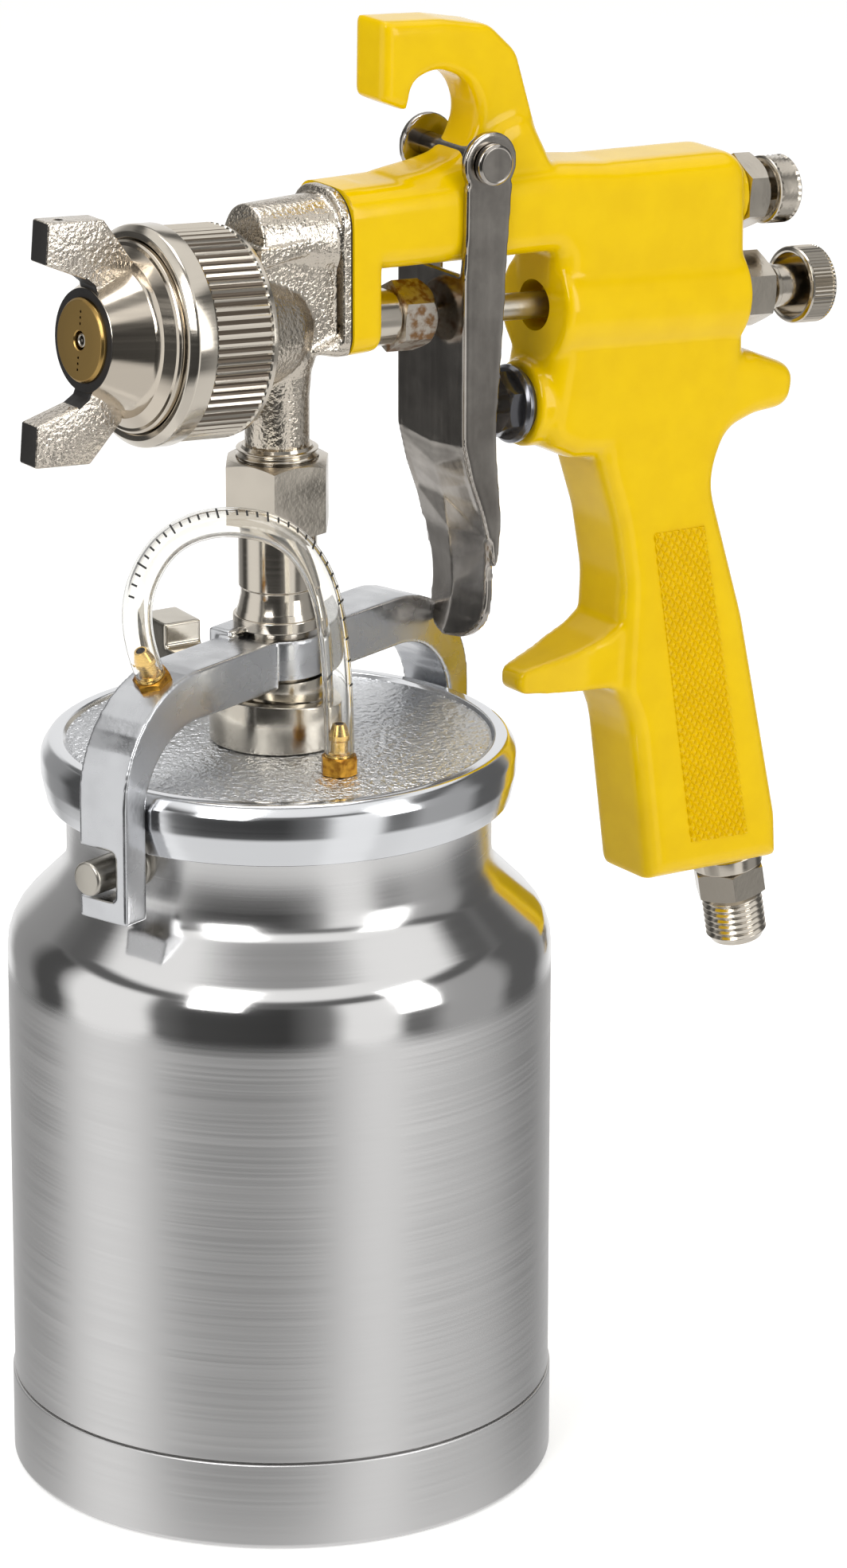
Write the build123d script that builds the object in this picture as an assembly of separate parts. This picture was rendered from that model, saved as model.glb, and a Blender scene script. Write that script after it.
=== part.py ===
from build123d import *
import math
import os

# A suction-feed air spray gun standing on its one-litre clamp-lid cup.
# Millimetres. +Z is up, and the origin is the centre of the cup's foot.
# The nozzle points to -X, the handle is at +X, and the gun's middle plane is XZ.

# ---- cup ----
cup_radius = 55.5
cup_wall = 1.5
cup_round = 1.2
cup_straight_height = 108.0
base_band_step = 0.4
base_band_height = 18.5
base_band_round = 0.9
base_floor = 1.2
shoulder_draw = 4.7
shoulder_rise = 13.1
neck_flare_draw = 4.6
neck_flare_rise = 4.5
neck_step = 3.0
neck_bend_rise = 5.0
neck_length = 10.4
mouth_lip = 2.3
mouth_flare_rise = 6.5
mouth_rim_height = 4.0
press_gap = 0.02
through = 400.0

# ---- studs that the yoke hooks under ----
stud_diameter = 7.0
stud_drop = 2.2
stud_proud = 2.0
stud_turn = 2.6
washer_diameter = 10.0
washer_thickness = 1.4

# ---- lid ----
gasket_thickness = 1.5
gasket_width = 4.5
lid_plate_thickness = 1.7
lid_skirt_gap = 0.7
lid_skirt_wall = 0.8
lid_skirt_depth = 8.7
lid_bulge = 1.2
lid_rim_draw = 1.6
lid_rim_rise = 0.6
lid_bead_width = 3.6
lid_barb_x = -3.6
lid_barb_y = -26.8
barb_hex = 6.8
barb_hex_height = 3.8
barb_radius = 2.1
barb_height = 10.0
barb_bore = 1.0

# ---- tube, cam and yoke on the cup's axis ----
tube_radius = 6.5
running_gap = 0.05
tube_bore = 3.5
cam_ring_radius = 14.0
cam_under_gap = 0.2
cam_mean_height = 8.5
cam_slope = 7.0
cam_rest_turn = 35.0
cam_rest_lift = 0.85
lever_turn = 85.0
lever_length = 46.0
lever_width = 8.5
lever_thickness = 6.0
lever_end_height = 11.0
lever_end_length = 11.0
follower_radius = 9.5
follower_height = 4.3
follower_play = 0.35
counterbore_depth = 2.1
yoke_gap_over_lid = 12.6
yoke_hub_wall = 3.3
yoke_arm_thickness = 10.2
yoke_width = 12.0
yoke_turn = 16.6
yoke_leg_gap = 0.5
yoke_leg_thickness = 6.3
yoke_outer_corner = 30.0
yoke_inner_corner = 16.0
yoke_leg_below_stud = 8.8
slot_rise = 0.9
slot_height = 10.4
slot_closed_side = 3.0
yoke_barb_angle = 27.0
yoke_barb_side = 0.5
flange_play = 1.1
flange_radius = 9.1
flange_height = 2.4
flange_cone = 3.4
tube_head_radius = 7.95
tube_head_height = 20.1
tube_lip_radius = 8.2
tube_lip_height = 2.3
lock_nut_hex = 22.0
lock_nut_height = 5.5
dip_tube_radius = 5.0
dip_tube_bore = 3.8
dip_tube_bottom = 6.0
dip_tube_grip = 14.0
dip_tube_cut = 20.0

# ---- coupling nut and the head's stem ----
coupling_hex = 20.0
coupling_height = 14.8
coupling_turn = 23.0
coupling_lip = 2.3
stem_collar_radius = 8.3
stem_collar_show = 2.5
stem_radius = 6.5
stem_height = 24.4

# ---- gun axis ----
gun_tilt = 4.63

# ---- head, ring and cap, along the gun axis ----
head_radius = 13.0
head_rear = 11.5
head_disc_radius = 20.0
head_disc_front = -28.0
head_disc_rear = -15.5
head_duct_height = 20.8
head_duct_radius = 3.5
head_front_depth = 6.0
shank_radius = 5.8
shank_end = 27.0
shank_clearance = 0.1
flange_foot = -7.2
flange_top = 27.0
head_gasket_thickness = 0.5
ring_front = -34.4
ring_rear = -13.7
ring_band_rear = -28.6
ring_radius = 22.0
ring_knurl_radius = 21.3
ring_face_radius = 20.7
ring_hole_radius = 19.2
ring_lip = 1.6
cap_face = -45.6
cap_rim_radius = 19.0
cap_rim_front = -35.5
cap_flange_radius = 19.7
cap_rear = -29.4
cap_chamber_radius = 12.0
insert_radius = 8.4
insert_front = -46.6
insert_thickness = 5.6
orifice_radius = 1.9
horn_width = 5.8
horn_front = -57.0
horn_top = 24.3
horn_jet_radius = 0.8
horn_jet_lean = 50.0
nozzle_tip_radius = 1.4
nozzle_bore = 0.9
nozzle_thread_radius = 6.0
nozzle_hex = 14.0
needle_radius = 1.5
packing_radius = 3.9
packing_front = 18.0
packing_length = 5.0
packing_nut_hex = 12.8
packing_nut_rear = 35.0

# ---- body casting ----
barrel_half_width = 9.5
flange_half_width = 10.0
hook_half_width = 5.8
handle_half_width = 9.0
handle_round = 5.0
needle_boss_radius = 12.3
needle_boss_height = 10.3
body_face = 63.4
body_rear = 112.0
hook_opening_radius = 10.7
hook_mouth = 13.9
hook_mouth_low = 26.8
hook_opening_x = 35.5
hook_opening_z = 37.8
pivot_x = 44.0
pivot_z = 29.1
pivot_radius = 2.5
air_duct_radius = 4.0
crossover_x = 72.0
crossover_y = 6.2
crossover_radius = 2.0
crossover_ends = (-25.0, 17.0)
handle_lean = 10.0
inlet_x = 115.1
inlet_z = -132.4

# ---- needle's passage ----
sleeve_radius = 2.8
sleeve_slack = 0.6
sleeve_length = 43.7
mouth_bore_radius = 5.3
chamber_radius = 5.2
chamber_front = 80.0
needle_end = 112.0
guide_hex = 14.0
guide_hex_length = 7.8
guide_seat = 113.2
guide_neck_radius = 4.5
guide_neck_end = 133.0
guide_spigot = 8.0
screw_radius = 3.4
fluid_knob_front = 129.9
fluid_knob_length = 6.7
fluid_knob_radius = 8.1
fluid_knob_wall = 1.3
spring_gap = 0.1
needle_spring_radius = 3.2
needle_spring_wire = 0.8

# ---- fan valve ----
fan_height = 20.8
fan_bush_hex = 14.0
fan_bush_length = 5.5
fan_spigot_radius = 5.9
fan_spigot = 11.0
fan_stem_radius = 2.4
fan_stem_front = 60.0
fan_knob_front = 119.9
fan_knob_length = 6.0
fan_knob_radius = 7.1
fan_knob_wall = 1.2

# ---- air valve ----
valve_drop = 20.3
gland_hex = 11.8
gland_hex_front = 55.0
gland_hex_length = 3.0
gland_flange_radius = 8.1
gland_flange = 1.5
gland_thread_radius = 6.9
gland_end = 77.7
valve_boss_radius = 9.0
valve_boss_front = 61.5
valve_stem_radius = 2.0
valve_stem_slack = 0.6
valve_disc_radius = 5.2
valve_disc_thickness = 2.5
valve_chamber_radius = 6.0
valve_chamber_end = 98.0
valve_spring_radius = 4.2
valve_spring_wire = 0.9

# ---- trigger ----
trigger_sheet = 1.8
trigger_web_x = 38.4
trigger_side_gap = 0.4
trigger_ring_radius = 6.5
trigger_lower_half_width = 9.1
trigger_end = -71.4
screw_head_radius = 4.25
screw_head_thickness = 1.8
screw_slot = 1.2

# ---- air inlet ----
inlet_thread_radius = 6.58
inlet_thread_length = 10.8
inlet_hex = 14.0
inlet_hex_height = 6.2
inlet_collar_radius = 7.6
inlet_collar_height = 3.5
inlet_spigot = 12.0
inlet_bore = 3.8
inlet_way_length = 104.0

# ---- vent hose ----
hose_radius = 3.0
hose_bore = 2.25
hose_left_height = 18.0
hose_right_rise = 31.3
hose_crest = [(-38.9, -15.4, 205.4), (-27.4, -20.4, 210.2), (-11.6, -25.2, 205.0)]

# ---- sizes and heights that follow from the stack ----
base_band_radius = cup_radius + base_band_step
shoulder_radius = cup_radius - shoulder_draw
neck_flare_radius = shoulder_radius - neck_flare_draw
neck_radius = neck_flare_radius - neck_step
mouth_radius = neck_radius + mouth_lip
gasket_inner_radius = mouth_radius - gasket_width
shoulder_height = cup_straight_height + shoulder_rise
neck_flare_height = shoulder_height + neck_flare_rise
neck_bottom = neck_flare_height + neck_bend_rise
neck_top = neck_bottom + neck_length
mouth_flare_height = neck_top + mouth_flare_rise
mouth_height = mouth_flare_height + mouth_rim_height
stud_height = neck_top - stud_drop
yoke_leg_bottom = stud_height - yoke_leg_below_stud
lid_skirt_inner_radius = mouth_radius + lid_skirt_gap
lid_skirt_outer_radius = lid_skirt_inner_radius + lid_skirt_wall
lid_rim_radius = lid_skirt_outer_radius + lid_bulge
yoke_inner_radius = lid_rim_radius + yoke_leg_gap
yoke_outer_radius = yoke_inner_radius + yoke_leg_thickness
stud_end_radius = yoke_outer_radius + stud_proud
lid_rim_top_radius = lid_rim_radius - lid_rim_draw
lid_texture_radius = lid_rim_top_radius - lid_bead_width
lid_skirt_bottom = mouth_height - lid_skirt_depth
lid_plate_bottom = mouth_height + gasket_thickness
lid_top = lid_plate_bottom + lid_plate_thickness
cam_bottom = lid_top + cam_under_gap
cam_mean = cam_bottom + cam_mean_height
follower_mean = cam_mean + cam_rest_lift
yoke_under = lid_top + yoke_gap_over_lid
yoke_top = yoke_under + yoke_arm_thickness
flange_bottom = yoke_top + flange_play
nut_bottom = flange_bottom + tube_head_height
nut_top = nut_bottom + coupling_height
tube_top = nut_bottom + coupling_lip + press_gap + tube_lip_height
stem_bottom = nut_top + stem_collar_show
gun_z = stem_bottom + stem_height
axis_lean = math.radians(gun_tilt)
web_rear = trigger_web_x + trigger_sheet / 2
sleeve_front = (web_rear + sleeve_slack) / math.cos(axis_lean)
valve_stem_front = (web_rear + valve_stem_slack + valve_drop * math.sin(axis_lean)) / math.cos(axis_lean)

gun_axis = Pos(0, 0, gun_z) * Rotation(0, gun_tilt, 0)
gun_level = Pos(0, 0, gun_z)
yoke_place = Rotation(0, 0, yoke_turn)


# ---- shared ways of making a shape ----
def outline(start, *steps):
    """A closed face: each step is a point to draw a line to, or (middle, end) of an arc."""
    edges = []
    here = start
    for step in steps:
        if isinstance(step[0], tuple):
            edges.append(ThreePointArc(here, step[0], step[1]))
            here = step[1]
        else:
            edges.append(Line(here, step))
            here = step
    edges.append(Line(here, start))
    return make_face(edges)


def turned(face):
    """A solid of revolution about Z from a (radius, height) face."""
    return revolve(Plane.XZ * face, Axis.Z)


def turned_along_axis(*points):
    """A solid of revolution about the gun axis from (distance, radius) points."""
    return gun_axis * revolve(Plane.XZ * make_face(Polyline(*points, close=True)), Axis.X)


def tube(outer, inner, bottom, top):
    ring = Circle(outer) - Circle(inner) if inner else Circle(outer)
    return Pos(0, 0, bottom) * extrude(ring, top - bottom)


def bar_along_axis(radius, front, rear, height=0.0, side=0.0):
    """A round bar parallel to the gun axis."""
    return gun_axis * Pos(front, side, height) * Rotation(0, 90, 0) * tube(radius, 0, 0, rear - front)


def hex_along_axis(across_flats, front, rear, height=0.0):
    prism = extrude(hexagon(across_flats), rear - front)
    return gun_axis * Pos(front, 0, height) * Rotation(0, 90, 0) * prism


def hexagon(across_flats):
    return RegularPolygon(across_flats / 2, 6, major_radius=False)


def common(one, other):
    """The solid that two solids share."""
    return Part() + (one & other)


def side_slab(face, half_width):
    """A slab of the casting from its (x, height over the gun axis) side outline."""
    return gun_level * extrude(Plane.XZ * face, half_width, both=True)


def cross_bar(x, height, radius):
    """A long round bar across the gun, square to its middle plane."""
    return gun_level * Pos(x, 0, height) * Rotation(90, 0, 0) * Cylinder(radius, through)


def ribbon(points, thickness):
    """The outline of a bent sheet whose middle line is given."""
    left = []
    right = []
    last = len(points) - 1
    for i, (x, z) in enumerate(points):
        ahead = points[min(i + 1, last)]
        behind = points[max(i - 1, 0)]
        run = math.dist(ahead, behind)
        nx = (behind[1] - ahead[1]) / run * thickness / 2
        nz = (ahead[0] - behind[0]) / run * thickness / 2
        left.append((x + nx, z + nz))
        right.append((x - nx, z - nz))
    return make_face(Polyline(*left, *reversed(right), close=True))


# ---- cup ----
def cup_form(inset):
    """The cup's filled shape, drawn in by inset on every side."""
    i = inset
    return turned(
        outline(
            (0, i),
            (cup_radius - i, i),
            (cup_radius - i, cup_straight_height),
            (
                (cup_radius - cup_round - i, cup_straight_height + 0.58 * shoulder_rise),
                (shoulder_radius - i, shoulder_height - i / 2),
            ),
            (neck_flare_radius - i, neck_flare_height - i / 2),
            ((neck_radius + 0.8 - i, (neck_flare_height + neck_bottom) / 2), (neck_radius - i, neck_bottom)),
            (neck_radius - i, neck_top),
            (mouth_radius - i, mouth_flare_height),
            (mouth_radius - i, mouth_height),
            (0, mouth_height),
        )
    )


def make_cup_body():
    """Drawn can, necked in at the foot so that the base pan goes over it."""
    foot_radius = base_band_radius - cup_wall - press_gap
    shell = cup_form(0) - cup_form(cup_wall)
    neck_in = tube(cup_radius + 1, foot_radius, 0, base_band_height)
    floor_bottom = base_floor + press_gap
    shell = shell - neck_in + tube(foot_radius, foot_radius - cup_wall, floor_bottom, base_band_height)
    step = tube(cup_radius, foot_radius - cup_wall, base_band_height + press_gap, base_band_height + cup_wall)
    floor_cut = tube(foot_radius - cup_wall, 0, -1, base_band_height)
    floor = tube(foot_radius, 0, floor_bottom, floor_bottom + cup_wall)
    under = tube(cup_radius + 1, 0, -1, floor_bottom)
    return shell + step - floor_cut - under + floor


def make_cup_base_pan():
    floor = tube(base_band_radius - cup_wall / 2, 0, 0, base_floor)
    band = tube(base_band_radius, base_band_radius - cup_wall, 0, base_band_height)
    return fillet((floor + band).edges().group_by(Axis.Z)[0].sort_by(SortBy.LENGTH)[-1], base_band_round)


def stud_place(side):
    return Rotation(0, 0, yoke_turn - stud_turn + side * 180) * Pos(0, 0, stud_height) * Rotation(0, 90, 0)


def make_neck_studs():
    pin = chamfer(tube(stud_diameter / 2, 0, 0, stud_end_radius).edges().group_by(Axis.Z)[-1], 0.8)
    return [stud_place(side) * pin - cup_form(-press_gap) for side in (0, 1)]


def make_stud_washers():
    ring = tube(washer_diameter / 2, stud_diameter / 2 + press_gap, 0, neck_radius + washer_thickness)
    return [stud_place(side) * ring - cup_form(-press_gap) for side in (0, 1)]


# ---- lid ----
def make_lid():
    """Pressed cap: a flat plate, a raised bead round it, and a skirt over the cup's mouth."""
    cap = turned(
        outline(
            (0, lid_plate_bottom),
            (lid_skirt_inner_radius, lid_plate_bottom),
            (lid_skirt_inner_radius, lid_skirt_bottom),
            (lid_skirt_outer_radius, lid_skirt_bottom),
            (
                (lid_rim_radius - 0.1, lid_skirt_bottom + 3.0),
                (lid_rim_radius, lid_skirt_bottom + 5.0),
            ),
            (
                (lid_rim_radius - 0.1, lid_plate_bottom),
                (lid_rim_top_radius, lid_top + lid_rim_rise),
            ),
            (
                (lid_rim_top_radius - 1.8, lid_top + lid_rim_rise - 0.1),
                (lid_texture_radius, lid_top),
            ),
            (0, lid_top),
        )
    )
    ends = (lid_plate_bottom - 1, lid_top + 1)
    barb_hole = Pos(lid_barb_x, lid_barb_y) * tube(barb_radius + press_gap, 0, *ends)
    tube_hole = tube(tube_radius + press_gap, 0, *ends)
    return cap - barb_hole - tube_hole


def make_lid_gasket():
    return tube(mouth_radius, gasket_inner_radius, mouth_height, lid_plate_bottom)


def barb(spigot):
    """A brass hose barb that stands on z = 0, with its spigot below."""
    flats = extrude(hexagon(barb_hex), barb_hex_height)
    stalk = turned(
        outline(
            (0, barb_hex_height),
            (barb_radius - 0.3, barb_hex_height),
            (barb_radius - 0.3, barb_height - 3.0),
            (barb_radius, barb_height - 3.0),
            (barb_radius - 0.7, barb_height),
            (0, barb_height),
        )
    )
    return flats + stalk + tube(barb_radius, 0, -spigot, 0) - tube(barb_bore, 0, -spigot - 1, barb_height + 1)


def make_lid_barb():
    return Pos(lid_barb_x, lid_barb_y, lid_top) * barb(lid_plate_thickness)


# ---- tube and cam ----
def make_fluid_tube():
    """Turned tube: it is locked in the lid, and its flange and lip hold the yoke and the coupling nut."""
    lock_bottom = lid_plate_bottom - lock_nut_height
    rim_top = flange_bottom + flange_height
    solid = turned(
        outline(
            (0, lock_bottom),
            (tube_radius, lock_bottom),
            (tube_radius, flange_bottom),
            (flange_radius, flange_bottom),
            (flange_radius, rim_top),
            (tube_head_radius, rim_top + flange_cone),
            (tube_head_radius, nut_bottom + coupling_lip + press_gap),
            (tube_lip_radius, nut_bottom + coupling_lip + press_gap),
            (tube_lip_radius, tube_top),
            (0, tube_top),
        )
    )
    socket = tube(dip_tube_radius + press_gap, 0, lock_bottom - 1, lid_plate_bottom + dip_tube_grip)
    return solid - socket - tube(tube_bore, 0, lock_bottom, tube_top + 1)


def make_tube_lock_nut():
    blank = extrude(hexagon(lock_nut_hex), lock_nut_height - press_gap)
    nut = blank - Cylinder(tube_radius + press_gap, through)
    return Pos(0, 0, lid_plate_bottom - lock_nut_height) * nut


def make_suction_tube():
    top = lid_plate_bottom + dip_tube_grip - press_gap
    pipe = tube(dip_tube_radius, dip_tube_bore, base_floor, top)
    below = Pos(0, 0, -through / 2) * Box(through, through, through)
    return pipe - Pos(0, 0, dip_tube_bottom) * Rotation(0, dip_tube_cut, 0) * below


def cam_block(height, turn, side):
    """A half-space past the sloping cam plane: side 1 lies above it, and side -1 below."""
    block = Pos(0, 0, side * through / 2) * Box(through, through, through)
    return Pos(0, 0, height) * Rotation(0, 0, turn) * Rotation(0, cam_slope, 0) * block


def make_cam_lever():
    """Ring whose sloping top face lifts the follower, with the arm that turns it."""
    ring = tube(cam_ring_radius, 0, cam_bottom, cam_bottom + 2 * cam_mean_height)
    ring = ring - cam_block(cam_mean, cam_rest_turn, 1)
    arm_bottom = cam_bottom + 2.1
    arm = Box(lever_length, lever_width, lever_thickness)
    arm = Pos(lever_length / 2, 0, arm_bottom + lever_thickness / 2) * arm
    end_x = lever_length - lever_end_length / 2 + 3.0
    end = Box(lever_end_length, lever_width, lever_end_height)
    end = Pos(end_x, 0, arm_bottom + lever_end_height / 2) * end
    grip = fillet((arm + end).edges().filter_by(Axis.Z).group_by(Axis.X)[-1], 3.0)
    clear = tube(cam_ring_radius - 1, 0, cam_bottom - 1, cam_bottom + 3 * cam_mean_height)
    return ring + Rotation(0, 0, lever_turn) * (grip - clear) - Cylinder(tube_radius + running_gap, through)


def make_cam_follower():
    """Collar that rides up the cam and into the yoke's underside."""
    top = follower_mean + follower_height
    collar = tube(follower_radius, tube_radius + running_gap, follower_mean - 5, top)
    return collar - cam_block(follower_mean, 0, -1)


# ---- yoke ----
def make_yoke():
    """Cast arch over the lid, with an open-ended slot in each leg for the neck's studs."""
    r = yoke_outer_corner
    s = yoke_inner_corner
    half = math.sqrt(0.5)
    arch = outline(
        (0, yoke_top),
        (yoke_outer_radius - r, yoke_top),
        (
            (yoke_outer_radius - r + r * half, yoke_top - r + r * half),
            (yoke_outer_radius, yoke_top - r),
        ),
        (yoke_outer_radius, yoke_leg_bottom),
        (yoke_inner_radius, yoke_leg_bottom),
        (yoke_inner_radius, yoke_under - s),
        (
            (yoke_inner_radius - s + s * half, yoke_under - s + s * half),
            (yoke_inner_radius - s, yoke_under),
        ),
        (0, yoke_under),
    )
    right = extrude(Plane.XZ * arch, yoke_width / 2, both=True)
    slot_depth = yoke_width / 2 + slot_closed_side
    slot = Pos(yoke_inner_radius, slot_closed_side - slot_depth / 2, stud_height + slot_rise)
    slot = slot * Box(yoke_width * 2.5, slot_depth, slot_height)
    right = right - slot
    arch_solid = right + Rotation(0, 0, 180) * right
    hub = tube(tube_radius + yoke_hub_wall, 0, yoke_under, yoke_top)
    counterbore = tube(follower_radius + follower_play, 0, yoke_under - 1, yoke_under + counterbore_depth)
    barb_hole = yoke_barb_place() * tube(barb_radius + press_gap, 0, -5, 5)
    bore = Cylinder(tube_radius + running_gap, through)
    return yoke_place * (arch_solid + hub - counterbore - barb_hole - bore)


def yoke_barb_place():
    """Where the barb stands on the left shoulder of the yoke, square to its curve."""
    a = math.radians(yoke_barb_angle)
    x = yoke_outer_radius - yoke_outer_corner + yoke_outer_corner * math.sin(a)
    z = yoke_top - yoke_outer_corner + yoke_outer_corner * math.cos(a)
    return Pos(-x, -yoke_barb_side, z) * Rotation(0, -yoke_barb_angle, 0)


def make_yoke_barb():
    return yoke_place * yoke_barb_place() * barb(4.9)


# ---- vent hose ----
def hose_points():
    foot = yoke_place * yoke_barb_place()
    low = (foot * Pos(0, 0, barb_hex_height + press_gap)).position
    high = (foot * Pos(0, 0, hose_left_height)).position
    right_high = Vector(lid_barb_x, lid_barb_y, lid_top + hose_right_rise)
    right_low = Vector(lid_barb_x, lid_barb_y, lid_top + barb_hex_height + press_gap)
    return [low, high, *[Vector(p) for p in hose_crest], right_high, right_low]


def arc_radii(points):
    """The largest tangent arc that each corner's two runs allow."""
    radii = []
    for a, b, c in zip(points, points[1:], points[2:]):
        half_turn = math.radians((b - a).get_angle(c - b)) / 2
        radii.append(0.45 * min((b - a).length, (c - b).length) / math.tan(half_turn))
    return radii


def make_vent_hose():
    points = hose_points()
    radii = arc_radii(points)
    print("hose arc radii", [round(r, 1) for r in radii])
    path = FilletPolyline(*points, radius=radii)
    print("hose length", round(path.length, 1))
    section = Plane(path @ 0, z_dir=path % 0) * (Circle(hose_radius) - Circle(hose_bore))
    return sweep(section, path=path)


# ---- coupling nut ----
def make_coupling_nut():
    blank = extrude(hexagon(coupling_hex), coupling_height)
    corner = coupling_hex / math.sqrt(3)
    ease = turned(
        outline(
            (0, 0),
            (corner + 0.01, 0),
            (corner + 0.01, coupling_height - 1.0),
            (coupling_hex / 2, coupling_height),
            (0, coupling_height),
        )
    )
    thread = tube(stem_collar_radius + running_gap, 0, coupling_lip, coupling_height + 1)
    hole = tube(tube_head_radius + running_gap, 0, -1, coupling_height)
    return Pos(0, 0, nut_bottom) * Rotation(0, 0, coupling_turn) * (common(blank, ease) - thread - hole)


# ---- head, gasket, nozzle ----
def make_fluid_head():
    """Plated casting: stem, barrel, threaded disc for the ring, air ridge and rear shank."""
    barrel = turned_along_axis(
        (head_disc_front, 0),
        (head_disc_front, head_disc_radius),
        (head_disc_rear, head_disc_radius),
        (head_disc_rear + 5.0, head_radius),
        (head_rear - 1.0, head_radius),
        (head_rear - 1.0, 0),
    )
    ridge = bar_along_axis(9.0, -10.0, head_rear + 2, 17.6)
    ridge_web = gun_axis * Pos((head_rear - 8.0) / 2, 0, 8.8) * Box(head_rear + 12.0, 18.0, 17.6)
    pad = side_slab(
        outline(
            (4.0, flange_foot + 1.7),
            (head_rear - 2.0, flange_foot),
            (head_rear + 4, flange_foot),
            (head_rear + 4, flange_top),
            (4.0, flange_top - 0.4),
        ),
        9.8,
    )
    stem = tube(stem_radius, 0, stem_bottom - 1, gun_z - 2)
    collar = tube(stem_collar_radius, 0, tube_top + 0.1, stem_bottom)
    casting = barrel + ridge + ridge_web + pad + stem + collar
    behind = gun_level * Pos(head_rear + through / 2, 0, 0) * Box(through, through, through)
    casting = casting - behind + bar_along_axis(shank_radius, head_rear - 4, shank_end)
    fluid_way = tube(tube_bore, 0, tube_top, gun_z)
    thread = bar_along_axis(nozzle_thread_radius + press_gap, head_disc_front - 1, -17.0)
    front = bar_along_axis(16.0, head_disc_front - 1, head_disc_front + head_front_depth)
    front = front - bar_along_axis(9.0, head_disc_front - 2, head_disc_front + head_front_depth + 1)
    duct = bar_along_axis(head_duct_radius, -9.0, head_rear + 5, head_duct_height)
    drop = gun_axis * Pos(-6.0, 0, 0) * tube(2.5, 0, 12.5, head_duct_height)
    cross = bar_along_axis(2.5, head_disc_front + 2, -5.0, 12.5)
    passage = bar_along_axis(3.2, -18.0, 8.0)
    needle_way = bar_along_axis(needle_radius + running_gap, 7.0, shank_end + 1)
    packing_room = bar_along_axis(packing_radius + press_gap, packing_front, shank_end + 1)
    return casting - fluid_way - thread - front - duct - drop - cross - passage - needle_way - packing_room


def flange_face():
    """The side outline of the joint between the head and the body, one gasket thick."""
    return outline(
        (head_rear, flange_foot),
        (head_rear + head_gasket_thickness, flange_foot),
        (head_rear + head_gasket_thickness, flange_top),
        (head_rear, flange_top),
    )


def make_head_gasket():
    sheet = side_slab(flange_face(), 9.6)
    shank_hole = bar_along_axis(shank_radius + shank_clearance, 0, 20)
    duct = bar_along_axis(head_duct_radius, 0, 20, head_duct_height)
    return sheet - shank_hole - duct


def make_fluid_nozzle():
    """Fluid tip: a cone with its orifice, a hexagon and a thread into the head."""
    front = insert_front + 0.5
    body = turned_along_axis(
        (front, 0),
        (front, nozzle_tip_radius),
        (front + 3.0, nozzle_tip_radius + 0.2),
        (front + 8.0, 5.0),
        (-33.2, 6.4),
        (-33.2, 0),
    )
    flats = hex_along_axis(nozzle_hex, -33.5, head_disc_front)
    thread = bar_along_axis(nozzle_thread_radius, head_disc_front - 1, -18.0)
    way = turned_along_axis(
        (front - 1, 0),
        (front - 1, nozzle_bore),
        (front + 3.0, nozzle_bore),
        (front + 10.0, 3.0),
        (-17.0, 3.0),
        (-17.0, 0),
    )
    return body + flats + thread - way


# ---- ring and cap ----
def make_retaining_ring():
    lip_rear = ring_front + ring_lip
    return turned_along_axis(
        (ring_front, ring_hole_radius),
        (ring_front, ring_face_radius),
        (ring_front + 1.6, ring_radius),
        (ring_band_rear, ring_radius),
        (ring_band_rear, ring_knurl_radius),
        (ring_rear, ring_knurl_radius),
        (ring_rear, head_disc_radius + running_gap),
        (lip_rear, head_disc_radius + running_gap),
        (lip_rear, ring_hole_radius),
    )


def make_air_cap():
    """Cap with its two horns, whose holes flatten the spray."""
    dome = turned_along_axis(
        (cap_face, 0),
        (cap_face, 10.6),
        (-38.0, 14.5),
        (-37.2, 16.0),
        (cap_rim_front, cap_rim_radius - 1.0),
        (cap_rim_front + 0.4, cap_rim_radius),
        (ring_front + ring_lip + 0.05, cap_rim_radius),
        (ring_front + ring_lip + 0.05, cap_flange_radius),
        (cap_rear, cap_flange_radius),
        (cap_rear, 0),
    )
    horn = outline(
        (horn_front, 16.0),
        (horn_front, horn_top - 1.0),
        (horn_front + 1.0, horn_top),
        (-44.2, horn_top),
        (-43.2, horn_top - 0.6),
        (-37.4, 16.0),
        (-37.4, 12.0),
        (cap_face + 0.4, 9.5),
        (cap_face, 11.5),
        (cap_face - 2.0, 12.7),
    )
    horn_pair = extrude(Plane.XZ * horn, horn_width / 2, both=True)
    horn_pair = gun_axis * (horn_pair + Rotation(180, 0, 0) * horn_pair)
    chamber = turned_along_axis(
        (-41.0, 0),
        (-41.0, 7.4),
        (-36.5, cap_chamber_radius),
        (cap_rear + 1, cap_chamber_radius),
        (cap_rear + 1, 0),
    )
    seat = bar_along_axis(insert_radius + press_gap, cap_face - 1, -40.9)
    cap = dome + horn_pair - chamber - seat
    for side in (1, -1):
        jet = Rotation(0, 90 + side * horn_jet_lean, 0) * Cylinder(horn_jet_radius, 22)
        cap = cap - gun_axis * Pos(-48.5, 0, side * 19.0) * jet
    return cap


def make_air_cap_insert():
    """Brass disc with the centre orifice and two small side holes."""
    disc = bar_along_axis(insert_radius, insert_front, insert_front + insert_thickness)
    hollow = turned_along_axis(
        (insert_front + 1.2, 0),
        (insert_front + 1.2, orifice_radius + 0.4),
        (insert_front + insert_thickness + 1, 6.6),
        (insert_front + insert_thickness + 1, 0),
    )
    disc = disc - hollow - bar_along_axis(orifice_radius, insert_front - 1, insert_front + 3)
    for side in (1, -1):
        disc = disc - bar_along_axis(0.6, insert_front - 1, insert_front + 6, side * 4.6)
    return disc


# ---- needle ----
def make_needle():
    tip = insert_front + 0.7
    return turned_along_axis(
        (tip, 0), (tip, 0.3), (tip + 10.0, needle_radius), (needle_end, needle_radius), (needle_end, 0)
    )


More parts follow.
